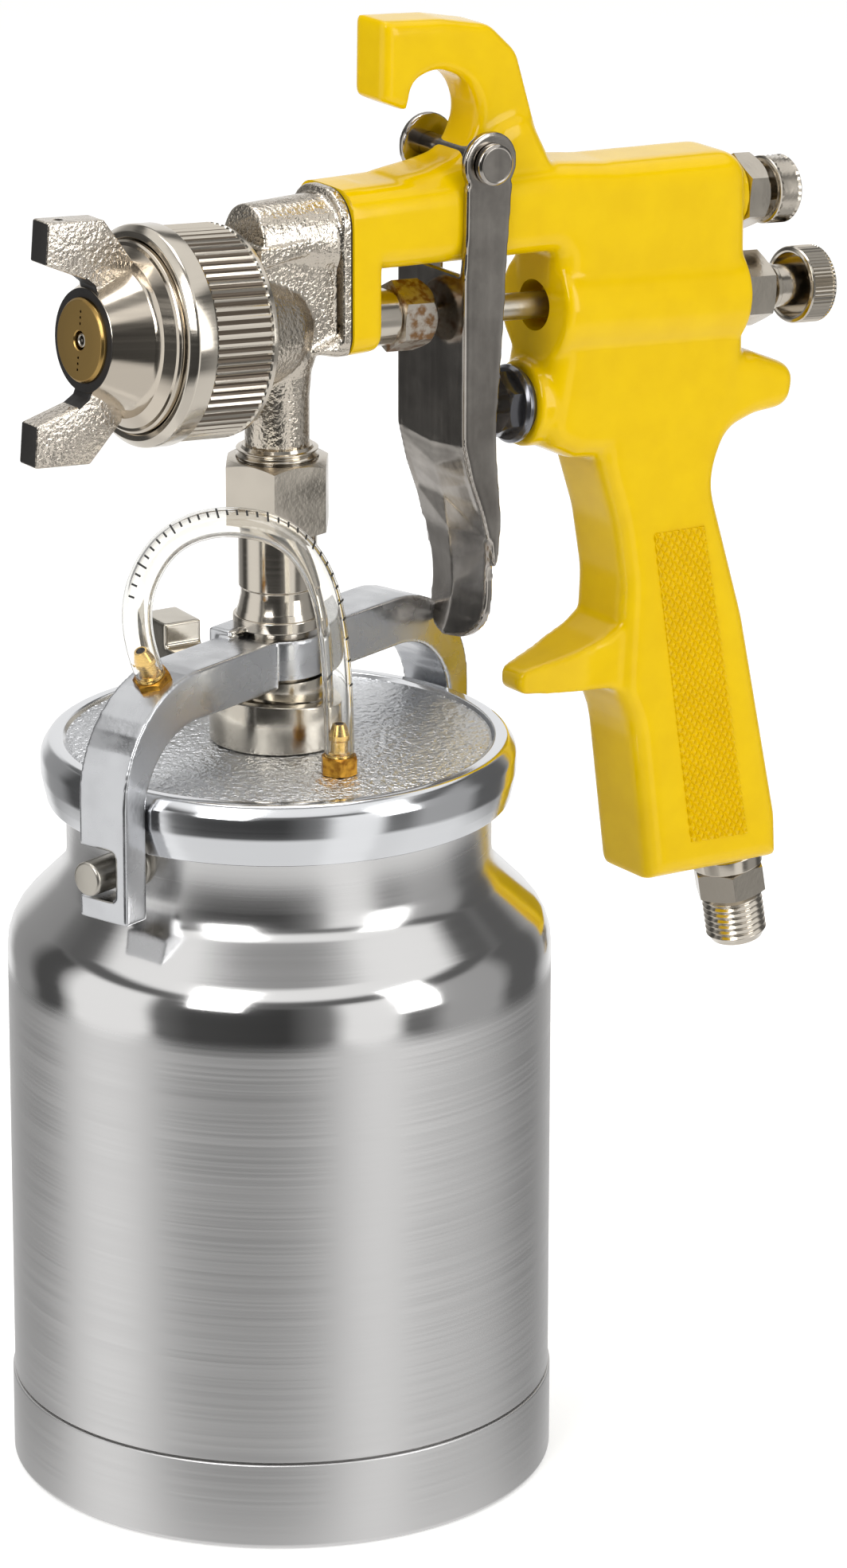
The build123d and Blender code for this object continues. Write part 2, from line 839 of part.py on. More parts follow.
def make_needle_collar():
    sleeve = bar_along_axis(sleeve_radius, sleeve_front, sleeve_front + sleeve_length)
    return sleeve - bar_along_axis(needle_radius + press_gap, 0, needle_end)


def make_needle_packing():
    ring = bar_along_axis(packing_radius, packing_front, packing_front + packing_length)
    return ring - bar_along_axis(needle_radius + running_gap, 0, needle_end)


def make_packing_nut():
    nut = hex_along_axis(packing_nut_hex, shank_end, packing_nut_rear)
    ease = turned_along_axis(
        (shank_end, 0),
        (shank_end, 7.4),
        (packing_nut_rear - 1.6, 7.4),
        (packing_nut_rear, 5.8),
        (packing_nut_rear, 0),
    )
    spigot = bar_along_axis(packing_radius, packing_front + packing_length, shank_end + 1)
    return common(nut, ease) + spigot - bar_along_axis(needle_radius + running_gap, 0, needle_end)


def spring_sleeve(radius, wire, front, rear, height=0.0):
    """A coil spring's envelope: a sleeve as thick as its wire."""
    room = bar_along_axis(radius - wire, front - 1, rear + 1, height)
    return bar_along_axis(radius, front, rear, height) - room


def make_needle_spring():
    front = sleeve_front + sleeve_length + spring_gap
    rear = body_rear - guide_spigot / 2 - spring_gap
    return spring_sleeve(needle_spring_radius, needle_spring_wire, front, rear)


def make_fluid_guide():
    """Hexagon guide screwed into the casting's rear face, with a neck for the knob."""
    hex_end = guide_seat + guide_hex_length
    flats = hex_along_axis(guide_hex, guide_seat, hex_end)
    neck = turned_along_axis(
        (hex_end - 0.1, 0),
        (hex_end - 0.1, guide_hex / 2 - 0.2),
        (hex_end + 2.6, guide_neck_radius),
        (guide_neck_end, guide_neck_radius),
        (guide_neck_end, 0),
    )
    spigot = bar_along_axis(chamber_radius - press_gap, body_rear - guide_spigot, body_rear + 2)
    bore = bar_along_axis(screw_radius + running_gap, body_rear - guide_spigot - 1, guide_neck_end + 1)
    return flats + neck + spigot - bore


def make_fluid_knob():
    """Knob and screw: its front end sets how far the needle can draw back."""
    rear = fluid_knob_front + fluid_knob_length
    cap = bar_along_axis(fluid_knob_radius, fluid_knob_front, rear)
    hollow = bar_along_axis(fluid_knob_radius - fluid_knob_wall, fluid_knob_front - 1, rear - 2.0)
    screw = bar_along_axis(screw_radius, body_rear - guide_spigot / 2, rear - 1)
    needle_room = bar_along_axis(needle_radius + 0.15, body_rear - guide_spigot, body_rear + 10)
    return cap - hollow + screw - needle_room


# ---- fan valve ----
def make_fan_bush():
    rear = body_rear + fan_bush_length
    flats = hex_along_axis(fan_bush_hex, body_rear, rear, fan_height)
    spigot = bar_along_axis(fan_spigot_radius, body_rear - fan_spigot, body_rear + 2, fan_height)
    neck = bar_along_axis(3.9, rear - 1, rear + 1.6, fan_height)
    bore = bar_along_axis(fan_stem_radius + running_gap, body_rear - fan_spigot - 1, rear + 3, fan_height)
    return flats + spigot + neck - bore


def make_fan_knob():
    rear = fan_knob_front + fan_knob_length
    cap = bar_along_axis(fan_knob_radius, fan_knob_front, rear, fan_height)
    hollow = bar_along_axis(fan_knob_radius - fan_knob_wall, fan_knob_front - 1, rear - 2.2, fan_height)
    socket = bar_along_axis(fan_stem_radius + press_gap, fan_knob_front - 1, rear - 0.8, fan_height)
    return cap - hollow - socket


def make_fan_stem():
    front = fan_stem_front
    stem = bar_along_axis(fan_stem_radius, front + 3, fan_knob_front + fan_knob_length - 0.85, fan_height)
    head = turned_along_axis((front, 0), (front, 1.0), (front + 3, 3.4), (front + 5, 3.4), (front + 5, 0))
    lift = gun_axis * Pos(0, 0, fan_height) * gun_axis.inverse()
    return stem + lift * head


# ---- air valve ----
def make_air_valve_gland():
    flange_front = gland_hex_front + gland_hex_length
    flats = hex_along_axis(gland_hex, gland_hex_front, flange_front + 0.5, -valve_drop)
    flange = bar_along_axis(gland_flange_radius, flange_front, flange_front + gland_flange, -valve_drop)
    thread = bar_along_axis(gland_thread_radius, flange_front, gland_end, -valve_drop)
    bore = bar_along_axis(valve_stem_radius + running_gap, gland_hex_front - 1, gland_end + 1, -valve_drop)
    return flats + flange + thread - bore


def make_air_valve_stem():
    rear = gland_end + 0.3 + valve_disc_thickness
    return bar_along_axis(valve_stem_radius, valve_stem_front, rear, -valve_drop)


def make_air_valve_disc():
    front = gland_end + 0.3
    disc = bar_along_axis(valve_disc_radius, front, front + valve_disc_thickness, -valve_drop)
    return disc - bar_along_axis(valve_stem_radius + press_gap, 0, 200, -valve_drop)


def make_air_valve_spring():
    front = gland_end + 0.3 + valve_disc_thickness + spring_gap
    rear = valve_chamber_end - spring_gap
    return spring_sleeve(valve_spring_radius, valve_spring_wire, front, rear, -valve_drop)


# ---- body casting ----
def make_barrel():
    """Barrel, front flange and the block behind the trigger."""
    front = head_rear + head_gasket_thickness
    block = outline(
        (front, flange_top),
        (front, 9.6),
        (19.3, 9.6),
        (62.5, 7.3),
        (body_face, 6.5),
        (body_face, -29.9),
        (61.0, -31.6),
        (65.9, -36.6),
        (104.0, -36.6),
        (body_rear, -33.0),
        (body_rear, 20.0),
        ((111.2, 21.6), (107.0, 22.6)),
        (77.4, 23.9),
        (61.3, 26.0),
    )
    flange = outline((front, flange_top), (front, -5.0), ((15.5, -7.4), (19.3, -5.0)), (19.3, flange_top))
    return side_slab(block, barrel_half_width) + side_slab(flange, flange_half_width)


def make_hook():
    """Hanging hook, open to the front."""
    form = outline(
        (22.6, 59.2),
        (37.1, 58.0),
        ((48.6, 55.6), (55.1, 49.4)),
        (64.0, 23.6),
        (30.0, 23.6),
        (30.0, hook_mouth_low + hook_mouth),
        (22.3, hook_mouth_low + hook_mouth + 2.4),
    )
    opening = cross_bar(hook_opening_x, hook_opening_z, hook_opening_radius)
    mouth = Pos(hook_opening_x - through / 2, 0, hook_mouth_low + hook_mouth / 2)
    mouth = mouth * Box(through, through, hook_mouth)
    return side_slab(form, hook_half_width) - opening - gun_level * mouth


def make_handle():
    """Handle with its finger rest in front and the spur behind the web of the thumb."""
    grip = outline(
        (74.1, -30.0),
        (74.1, -40.4),
        ((78.6, -58.0), (79.0, -66.0)),
        (78.4, -86.9),
        (82.5, -94.4),
        (87.4, -130.4),
        (123.4, -133.4),
        (123.0, -123.4),
        (113.5, -77.4),
        ((106.4, -56.0), (104.9, -43.5)),
        ((107.8, -36.5), (113.7, -34.5)),
        (121.5, -34.1),
        ((125.6, -30.5), (123.4, -25.0)),
        (114.4, -21.0),
        (body_rear, -19.4),
    )
    rest = outline(
        (80.5, -70.5),
        (78.7, -72.0),
        ((69.0, -78.3), (58.9, -81.2)),
        ((58.7, -85.8), (62.0, -86.7)),
        (78.4, -86.9),
        (80.5, -90.0),
    )
    handle = side_slab(grip, handle_half_width)
    outer_edges = [e for e in handle.edges() if abs(e.center().Y) > handle_half_width - 0.1]
    depths = [(e, e.center().X, e.center().Z - gun_z) for e in outer_edges]
    long_edges = [e for e, x, z in depths if (x > 100 and -130 < z < -50) or (x < 90 and z < -100)]
    handle = fillet(long_edges, handle_round)
    return handle + side_slab(rest, handle_half_width - 0.5)


def make_bores():
    """Passages for the needle, the valves and the air."""
    mouth = bar_along_axis(mouth_bore_radius, 60.0, 69.0)
    sleeve_way = bar_along_axis(sleeve_radius + running_gap, 68.0, chamber_front + 1)
    chamber = bar_along_axis(chamber_radius, chamber_front, body_rear + 5)
    shank_way = bar_along_axis(shank_radius + shank_clearance, 5.0, 22.0)
    fan_front = body_rear - fan_spigot
    fan_seat = bar_along_axis(fan_spigot_radius + press_gap, fan_front, body_rear + 5, fan_height)
    fan_room = bar_along_axis(5.0, fan_stem_front, fan_front + 1, fan_height)
    barrel_duct = bar_along_axis(air_duct_radius, 5.0, fan_stem_front + 1, fan_height)
    gland_way = bar_along_axis(gland_thread_radius + press_gap, 50.0, gland_end + 0.1, -valve_drop)
    valve_room = bar_along_axis(valve_chamber_radius, gland_end, valve_chamber_end, -valve_drop)
    crossover = gun_level * Pos(crossover_x, crossover_y, 0) * tube(crossover_radius, 0, *crossover_ends)
    inlet_way = inlet_place() * tube(inlet_bore, 0, -inlet_way_length, 0)
    inlet_seat = inlet_place() * tube(inlet_thread_radius - 0.5, 0, -inlet_spigot - 0.2, 3)
    pivot_way = cross_bar(pivot_x, pivot_z, pivot_radius + press_gap)
    return [
        mouth,
        sleeve_way,
        chamber,
        shank_way,
        fan_seat,
        fan_room,
        barrel_duct,
        gland_way,
        valve_room,
        crossover,
        inlet_way,
        inlet_seat,
        pivot_way,
    ]


def make_gun_body():
    """Painted casting: barrel, hanging hook, handle, finger rest and rear spur in one piece."""
    boss = bar_along_axis(needle_boss_radius, body_face + 0.2, body_rear - 0.2)
    boss_zone = gun_axis * Box(through, through, 2 * needle_boss_height)
    valve_boss = bar_along_axis(valve_boss_radius, valve_boss_front, 75.0, -valve_drop)
    guide_boss = bar_along_axis(guide_hex / 2 + 1.2, body_rear - 6, guide_seat)
    fan_boss = bar_along_axis(fan_bush_hex / 2 + 0.6, body_rear - 6, body_rear, fan_height)
    casting = make_barrel() + make_hook() + make_handle() + common(boss, boss_zone)
    casting = casting + valve_boss + guide_boss + fan_boss
    for bore in make_bores():
        casting = casting - bore
    under_inlet = inlet_place() * Pos(0, 0, through / 2) * Box(through, through, through)
    return casting - under_inlet


# ---- air inlet ----
def inlet_place():
    """At the handle's foot, with +Z out of it along the handle's lean."""
    return gun_level * Pos(inlet_x, 0, inlet_z) * Rotation(0, 180 - handle_lean, 0)


def make_air_inlet():
    """G1/4 nipple: spigot in the handle, collar, hexagon and thread."""
    hex_bottom = inlet_collar_height
    thread_bottom = hex_bottom + inlet_hex_height
    spigot = tube(inlet_thread_radius - 0.5 - press_gap, 0, -inlet_spigot, 0.5)
    collar = tube(inlet_collar_radius, 0, press_gap, inlet_collar_height)
    flats = Pos(0, 0, hex_bottom) * extrude(hexagon(inlet_hex), inlet_hex_height)
    thread = tube(inlet_thread_radius, 0, thread_bottom, thread_bottom + inlet_thread_length)
    thread = chamfer(thread.edges().group_by(Axis.Z)[-1], 0.8)
    bore = tube(inlet_bore, 0, -inlet_spigot - 1, thread_bottom + inlet_thread_length + 1)
    return inlet_place() * (spigot + collar + flats + thread - bore)


# ---- trigger ----
def trigger_side():
    """(inner, outer) distance of the trigger's side plates from the middle plane."""
    inner = barrel_half_width + trigger_side_gap
    return inner, inner + trigger_sheet


def trigger_tongue():
    """The room that the trigger's rounded lower end takes, seen from the front."""
    half = trigger_lower_half_width
    round_end = gun_level * Pos(0, 0, trigger_end + half) * Rotation(0, 90, 0) * Cylinder(half, through)
    straight = gun_level * Pos(0, 0, trigger_end + half + through / 2) * Box(through, 2 * half, through)
    return round_end + straight


def make_trigger():
    """Pressed channel, open to the rear, that swings on two ears."""
    inner, outer = trigger_side()
    plate = outline(
        (pivot_x - 5.5, pivot_z - 3.0),
        (38.0, 14.5),
        (37.5, 7.2),
        (37.5, -28.5),
        (39.4, -36.3),
        (41.3, -41.5),
        (44.4, -52.0),
        (46.6, -53.2),
        (47.1, -45.7),
        (46.0, -32.9),
        (45.7, -26.2),
        (47.0, -9.8),
        (47.7, 0.0),
        (48.1, 8.2),
        (pivot_x + 5.5, pivot_z - 4.0),
    )
    ear = Pos(pivot_x, 0, pivot_z) * Rotation(90, 0, 0) * Cylinder(trigger_ring_radius, 2 * outer)
    sides = side_slab(plate, outer) + gun_level * ear
    gap = gun_level * Pos(pivot_x, 0, 0) * Box(through, 2 * inner, through)
    sides = sides - gap
    middle = [
        (trigger_web_x, 6.6),
        (trigger_web_x, -28.2),
        (40.3, -35.4),
        (42.3, -40.6),
        (44.6, -49.4),
        (45.5, -56.4),
        (45.7, -61.9),
        (45.0, -66.4),
        (43.8, -70.0),
        (43.1, trigger_end),
    ]
    sheet = ribbon(middle, trigger_sheet)
    upper = common(side_slab(sheet, outer), gun_level * Pos(42, 0, -22.0) * Box(30, 40, 60))
    lower = common(side_slab(sheet, trigger_lower_half_width), trigger_tongue())
    needle_hole = bar_along_axis(2.3, 30, 60)
    pivot = cross_bar(pivot_x, pivot_z, pivot_radius + running_gap)
    return sides + upper + lower - needle_hole - pivot


def make_trigger_pivot_screw():
    inner, outer = trigger_side()
    head_gap = 0.3
    near = outer + head_gap
    shank = Cylinder(pivot_radius, 2 * near + 1)
    head = Cylinder(screw_head_radius, screw_head_thickness)
    heads = [Pos(0, 0, side * (near + screw_head_thickness / 2)) * head for side in (1, -1)]
    slot = Pos(0, 0, near + screw_head_thickness) * Box(3 * screw_head_radius, screw_slot, 2 * screw_slot)
    return gun_level * Pos(pivot_x, 0, pivot_z) * Rotation(90, 0, 0) * (shank + heads[0] + heads[1] - slot)


# ---- every piece, by name ----
makers = {
    "cup_body": make_cup_body,
    "cup_base_pan": make_cup_base_pan,
    "neck_studs": make_neck_studs,
    "stud_washers": make_stud_washers,
    "lid": make_lid,
    "lid_gasket": make_lid_gasket,
    "lid_barb": make_lid_barb,
    "vent_hose": make_vent_hose,
    "fluid_tube": make_fluid_tube,
    "tube_lock_nut": make_tube_lock_nut,
    "suction_tube": make_suction_tube,
    "cam_lever": make_cam_lever,
    "cam_follower": make_cam_follower,
    "yoke": make_yoke,
    "yoke_barb": make_yoke_barb,
    "coupling_nut": make_coupling_nut,
    "gun_body": make_gun_body,
    "fluid_head": make_fluid_head,
    "head_gasket": make_head_gasket,
    "fluid_nozzle": make_fluid_nozzle,
    "retaining_ring": make_retaining_ring,
    "air_cap": make_air_cap,
    "air_cap_insert": make_air_cap_insert,
    "needle": make_needle,
    "needle_collar": make_needle_collar,
    "needle_packing": make_needle_packing,
    "packing_nut": make_packing_nut,
    "needle_spring": make_needle_spring,
    "fluid_guide": make_fluid_guide,
    "fluid_knob": make_fluid_knob,
    "fan_bush": make_fan_bush,
    "fan_knob": make_fan_knob,
    "fan_stem": make_fan_stem,
    "air_valve_gland": make_air_valve_gland,
    "air_valve_stem": make_air_valve_stem,
    "air_valve_disc": make_air_valve_disc,
    "air_valve_spring": make_air_valve_spring,
    "air_inlet": make_air_inlet,
    "trigger": make_trigger,
    "trigger_pivot_screw": make_trigger_pivot_screw,
}

os.makedirs("parts", exist_ok=True)
for name, make in makers.items():
    made = make()
    solids = made if isinstance(made, list) else [made]
    shape = Compound(children=[s for piece in solids for s in piece.solids()])
    shape.label = name
    export_step(shape, "parts/" + name + ".step")
    print(name, len(shape.solids()))
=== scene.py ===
import math

import bpy
from mathutils import Matrix, Vector


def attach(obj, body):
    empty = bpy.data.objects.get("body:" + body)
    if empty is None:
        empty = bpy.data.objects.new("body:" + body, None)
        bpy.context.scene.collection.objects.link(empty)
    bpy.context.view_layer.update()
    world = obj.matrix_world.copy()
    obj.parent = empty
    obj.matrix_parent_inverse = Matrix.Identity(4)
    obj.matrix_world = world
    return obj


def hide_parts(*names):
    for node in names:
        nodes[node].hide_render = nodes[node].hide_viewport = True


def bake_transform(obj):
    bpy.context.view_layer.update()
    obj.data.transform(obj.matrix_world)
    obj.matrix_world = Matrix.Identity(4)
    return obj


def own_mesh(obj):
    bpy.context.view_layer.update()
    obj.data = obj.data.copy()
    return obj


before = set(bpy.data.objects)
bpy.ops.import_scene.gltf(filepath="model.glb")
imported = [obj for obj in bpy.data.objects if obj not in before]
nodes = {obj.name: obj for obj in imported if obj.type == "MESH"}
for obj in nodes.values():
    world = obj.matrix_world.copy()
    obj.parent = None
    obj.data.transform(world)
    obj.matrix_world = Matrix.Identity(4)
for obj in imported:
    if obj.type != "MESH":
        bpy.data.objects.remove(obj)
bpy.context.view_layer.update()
MM = 0.001
WHITE = (1, 1, 1, 1)


# The studio: a pale floor that runs out of sight, a bright even room, and soft boxes that draw
# long highlights down the metal. The camera looks a little down on the gun from its left front.
def srgb(code):
    """Turns an sRGB hex colour to the linear values that a shader takes."""
    values = [int(code[i : i + 2], 16) / 255 for i in (1, 3, 5)]
    return [v / 12.92 if v <= 0.04045 else ((v + 0.055) / 1.055) ** 2.4 for v in values] + [1.0]


def add(tree, kind, sockets=None, **settings):
    """Adds a node: its settings are attributes, and its sockets take a value or a link."""
    made = tree.nodes.new(kind)
    for key, value in settings.items():
        setattr(made, key, value)
    for key, value in (sockets or {}).items():
        if isinstance(value, bpy.types.NodeSocket):
            tree.links.new(value, made.inputs[key])
        else:
            made.inputs[key].default_value = value
    return made


def new_material(name, inputs):
    """A material and its shader node, with the shader's constant inputs set; colours are sRGB hex."""
    made = bpy.data.materials.new(name)
    made.use_nodes = True
    shader = made.node_tree.nodes["Principled BSDF"]
    for key, value in inputs.items():
        shader.inputs[key].default_value = srgb(value) if isinstance(value, str) else value
    return made, shader


def grey_ramp(tree, value, stops):
    """A ramp of greys from (position, brightness) stops."""
    ramp = add(tree, "ShaderNodeValToRGB", {"Fac": value})
    marks = ramp.color_ramp
    marks.elements[0].position, marks.elements[1].position = stops[0][0], stops[-1][0]
    for spot, _ in stops[1:-1]:
        marks.elements.new(spot)
    for mark, (_, grey) in zip(marks.elements, stops):
        mark.color = (grey, grey, grey, 1)
    return ramp.outputs["Color"]


def mix(tree, share, first, second):
    """The first colour where the share is 0, and the second where it is 1."""
    return add(tree, "ShaderNodeMix", {0: share, 6: first, 7: second}, data_type="RGBA").outputs[2]


def start(name, primitive, **settings):
    """Adds a primitive, selected by itself, as the start of a piece."""
    bpy.ops.object.select_all(action="DESELECT")
    primitive(**settings)
    bpy.context.object.name = name
    return bpy.context.object


camera_data = bpy.data.cameras.new("camera")
camera_data.sensor_width = 36.0
camera_data.lens = 157.3
camera_data.clip_start, camera_data.clip_end = 0.05, 20.0
camera = bpy.data.objects.new("camera", camera_data)
bpy.context.scene.collection.objects.link(camera)
camera.location = (-0.7393, -1.0931, 0.5829)
camera_bearing, camera_pitch, camera_roll = (math.radians(angle) for angle in (-35.346, 71.617, 0.12))
camera_turn = Matrix.Rotation(camera_bearing, 3, "Z") @ Matrix.Rotation(camera_pitch, 3, "X")
camera.rotation_euler = (camera_turn @ Matrix.Rotation(camera_roll, 3, "Z")).to_euler()
bpy.context.scene.camera = camera
bpy.context.scene.view_settings.view_transform = "Standard"

floor_look = {
    "Base Color": "#F4F4F2",
    "Roughness": 0.9,
    "Emission Color": "#FFFFFF",
    "Emission Strength": 0.3,
}
floor_paint, _ = new_material("matt_white_floor", floor_look)
floor = start("floor", bpy.ops.mesh.primitive_plane_add, size=6.0)
floor.data.materials.append(floor_paint)
floor.visible_glossy = False

# The room is white where the camera sees it. What the metal mirrors is a photographer's tent: dark
# where the camera stands, a tall bright card on each side of it, grey walls, a lit roof panel, and
# a white table under steep looks down. The walls' stops are degrees round from the camera's side.
world = bpy.data.worlds.new("studio")
bpy.context.scene.world = world
world.use_nodes = True
room = world.node_tree
room_turn = (0, 0, math.pi / 2 - camera_bearing)
wall_stops = (
    (-180, 0.95), (-158, 0.9), (-146, 0.34), (-128, 0.3), (-118, 0.08), (-104, 0.08), (-92, 1.0),
    (-57, 1.0), (-51, 0.16), (-36, 0.07), (4, 0.05), (22, 0.22), (30, 1.0), (50, 1.0), (56, 0.16),
    (66, 0.18), (76, 0.42), (104, 0.4), (114, 0.12), (136, 0.12), (150, 0.6), (164, 0.95), (180, 0.95),
)
panel_stops = [(0.42, 0.3), (0.5, 0.12), (0.6, 0.12), (0.67, 1.0), (0.84, 1.0), (0.89, 0.3), (1.0, 0.5)]
roof_stops = [(0.0, 0.0), (0.42, 0.0), (0.5, 1.0), (1.0, 1.0)]
table_stops = [(0.0, 0.8), (0.24, 0.8), (0.3, 0.0), (1.0, 0.0)]
place = add(room, "ShaderNodeTexCoord").outputs["Generated"]
facing = add(room, "ShaderNodeMapping", {"Vector": place, "Rotation": room_turn})
way = add(room, "ShaderNodeSeparateXYZ", {"Vector": facing.outputs[0]})
rise = way.outputs["Z"]
bearing = add(room, "ShaderNodeMath", {0: way.outputs["Y"], 1: way.outputs["X"]}, operation="ARCTAN2")
whole_turn = {"Value": bearing.outputs[0], "From Min": -math.pi, "From Max": math.pi}
share = add(room, "ShaderNodeMapRange", whole_turn)
walls = grey_ramp(room, share.outputs[0], [(degrees / 360 + 0.5, grey) for degrees, grey in wall_stops])
panel = grey_ramp(room, rise, panel_stops)
mirrored = mix(room, grey_ramp(room, rise, roof_stops), walls, panel)
depth = add(room, "ShaderNodeMapRange", {"Value": rise, "From Min": -1.0, "From Max": 1.0})
mirrored = mix(room, grey_ramp(room, depth.outputs[0], table_stops), mirrored, WHITE)
seen = add(room, "ShaderNodeLightPath").outputs["Is Camera Ray"]
room.links.new(mix(room, seen, mirrored, WHITE), room.nodes["Background"].inputs["Color"])
room.nodes["Background"].inputs["Strength"].default_value = 1.0


def soft_box(name, place, size, power):
    """An area light that faces the middle of the gun, too soft to show in the metal by itself."""
    data = bpy.data.lights.new(name, "AREA")
    data.shape = "RECTANGLE"
    data.size, data.size_y = size
    data.energy = power
    lamp = bpy.data.objects.new(name, data)
    bpy.context.scene.collection.objects.link(lamp)
    lamp.location = place
    lamp.rotation_euler = (Vector((0, 0, 0.15)) - Vector(place)).to_track_quat("-Z", "Y").to_euler()


soft_box("key", (-1.3, -0.7, 1.2), (0.7, 1.2), 14)
soft_box("fill", (0.7, -1.5, 0.7), (0.6, 1.4), 9)
soft_box("top", (0.1, 0.2, 1.7), (1.0, 1.0), 10)


# The cup is a drawn and turned aluminium can. Its wall is brushed round in the lathe, its shoulder
# is buffed bright, and its neck is necked in and turned, so it keeps fine rings.
def rounded(corners, fineness=10):
    """Points of an outline: a corner given as (x, z, radius) becomes an arc of that radius."""
    points = []
    for i, corner in enumerate(corners):
        radius = corner[2] if len(corner) > 2 else 0
        if not radius:
            points.append(Vector(corner[:2]))
            continue
        here, before, after = (Vector(corners[j % len(corners)][:2]) for j in (i, i - 1, i + 1))
        back, ahead = (before - here).normalized(), (after - here).normalized()
        half = back.angle(ahead) / 2
        space = 0.49 * min((before - here).length, (after - here).length)
        reach = min(radius / math.tan(half), space)
        centre = here + (back + ahead).normalized() * reach / math.cos(half)
        spoke = here + back * reach - centre
        sweep = spoke.angle_signed(here + ahead * reach - centre)
        steps = max(2, round(abs(math.degrees(sweep)) / fineness))
        points += [centre + Matrix.Rotation(-sweep * k / steps, 2) @ spoke for k in range(steps + 1)]
    return points


def draw(name, points):
    """Starts a piece as one vertex and draws its outline on in the XZ plane, in millimetres."""
    piece = start(name, bpy.ops.mesh.primitive_plane_add, size=MM)
    edit()
    bpy.ops.mesh.merge(type="CENTER")
    here = (0, 0)
    for i, (x, z) in enumerate(points):
        step = {"value": ((x - here[0]) * MM, 0, (z - here[1]) * MM)}
        if i:
            bpy.ops.mesh.extrude_vertices_move(TRANSFORM_OT_translate=step)
        else:
            bpy.ops.transform.translate(**step)
        here = (x, z)
    return piece


def edit(everything=False):
    """Enters edit mode, where everything may be selected first."""
    bpy.ops.object.mode_set(mode="EDIT")
    if everything:
        bpy.ops.mesh.select_all(action="SELECT")


def clean():
    """Merges doubles, turns the faces outwards and leaves edit mode."""
    bpy.ops.mesh.select_all(action="SELECT")
    bpy.ops.mesh.remove_doubles(threshold=0.000002)
    bpy.ops.mesh.normals_make_consistent(inside=False)
    bpy.ops.object.mode_set(mode="OBJECT")


def turned(axis, degrees):
    """A turn about one of the main axes."""
    return Matrix.Rotation(math.radians(degrees), 4, axis)


def shifted(x, y, z):
    """A move in millimetres."""
    return Matrix.Translation((x * MM, y * MM, z * MM))


def pick(*pieces):
    """Selects these pieces alone and makes the first of them active."""
    bpy.ops.object.select_all(action="DESELECT")
    for piece in pieces:
        piece.select_set(True)
    bpy.context.view_layer.objects.active = pieces[0]


def settle(piece, lay=None):
    """Puts a piece in its place, if one is given, and fixes the place in its mesh."""
    if lay is not None:
        piece.matrix_world = lay
    pick(piece)
    bpy.ops.object.transform_apply(location=True, rotation=True, scale=True)
    return piece


def lathe(name, profile, steps, lay=None):
    """Turns a profile of (radius, height) corners round the Z axis, and lays the piece in place."""
    piece = draw(name, rounded(profile))
    bpy.ops.mesh.select_all(action="SELECT")
    bpy.ops.mesh.spin(steps=steps, angle=math.tau, center=(0, 0, 0), axis=(0, 0, 1))
    clean()
    return settle(piece, lay) if lay is not None else piece


def apply_modifier(piece, kind, **settings):
    bpy.context.view_layer.objects.active = piece
    modifier = piece.modifiers.new("shape", kind)
    for key, value in settings.items():
        setattr(modifier, key, value)
    bpy.ops.object.modifier_apply(modifier=modifier.name)


def finish(piece, body, slot, material, *replaced, sharp=32, lay=None):
    """Fixes the piece's place in its mesh, smooths its shading, and gives it to its body."""
    settle(piece, lay)
    bpy.ops.object.shade_smooth_by_angle(angle=math.radians(sharp))
    piece.data.materials.clear()
    piece.data.materials.append(material)
    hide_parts(*replaced)
    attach(piece, body)


def noise(shader, scale, detail=2.0, stretch=None):
    """A noise texture in the piece's own coordinates, which may be stretched first."""
    tree = shader.id_data
    place = add(tree, "ShaderNodeTexCoord").outputs["Object"]
    if stretch:
        place = add(tree, "ShaderNodeMapping", {"Vector": place, "Scale": stretch}).outputs[0]
    made = add(tree, "ShaderNodeTexNoise", {"Vector": place, "Scale": scale, "Detail": detail})
    return made.outputs["Fac"]


def set_gloss(shader, value, rough, start=0.0, end=1.0):
    """Runs the roughness between two values while a texture's value runs from start to end."""
    span = {"Value": value, "From Min": start, "From Max": end, "To Min": rough[0], "To Max": rough[1]}
    made = add(shader.id_data, "ShaderNodeMapRange", span).outputs[0]
    shader.id_data.links.new(made, shader.inputs["Roughness"])
    return made


def set_tones(shader, value, *tones):
    """Runs the base colour between two (position, colour) tones over a texture's value."""
    ramp = add(shader.id_data, "ShaderNodeValToRGB", {"Fac": value})
    for mark, (spot, colour) in zip(ramp.color_ramp.elements, tones):
        mark.position, mark.color = spot, srgb(colour)
    shader.id_data.links.new(ramp.outputs["Color"], shader.inputs["Base Color"])


def set_bump(shader, height, strength, distance):
    sockets = {"Height": height, "Strength": strength, "Distance": distance}
    made = add(shader.id_data, "ShaderNodeBump", sockets)
    shader.id_data.links.new(made.outputs[0], shader.inputs["Normal"])


def turned_metal(name, colour, rough, ring_spacing, depth, spread=0.08, polish=None):
    """Metal cut in a lathe: fine rings round Z, seen as bands of gloss and slight grooves.

    polish gives (height in metres, share) stops, which scale the roughness up the piece."""
    material, shader = new_material(name, {"Base Color": colour, "Metallic": 1.0})
    tree = shader.id_data
    grain = noise(shader, 1.0, 3.0, (6, 6, 1 / ring_spacing))
    gloss = set_gloss(shader, grain, (rough - spread, rough + spread), 0.3, 0.7)
    set_bump(shader, grain, 0.6, depth)
    if polish:
        place = add(tree, "ShaderNodeTexCoord").outputs["Object"]
        height = add(tree, "ShaderNodeSeparateXYZ", {"Vector": place}).outputs["Z"]
        shares = grey_ramp(tree, height, polish)
        mixed = add(tree, "ShaderNodeMath", {0: gloss, 1: shares}, operation="MULTIPLY")
        tree.links.new(mixed.outputs[0], shader.inputs["Roughness"])
    return material


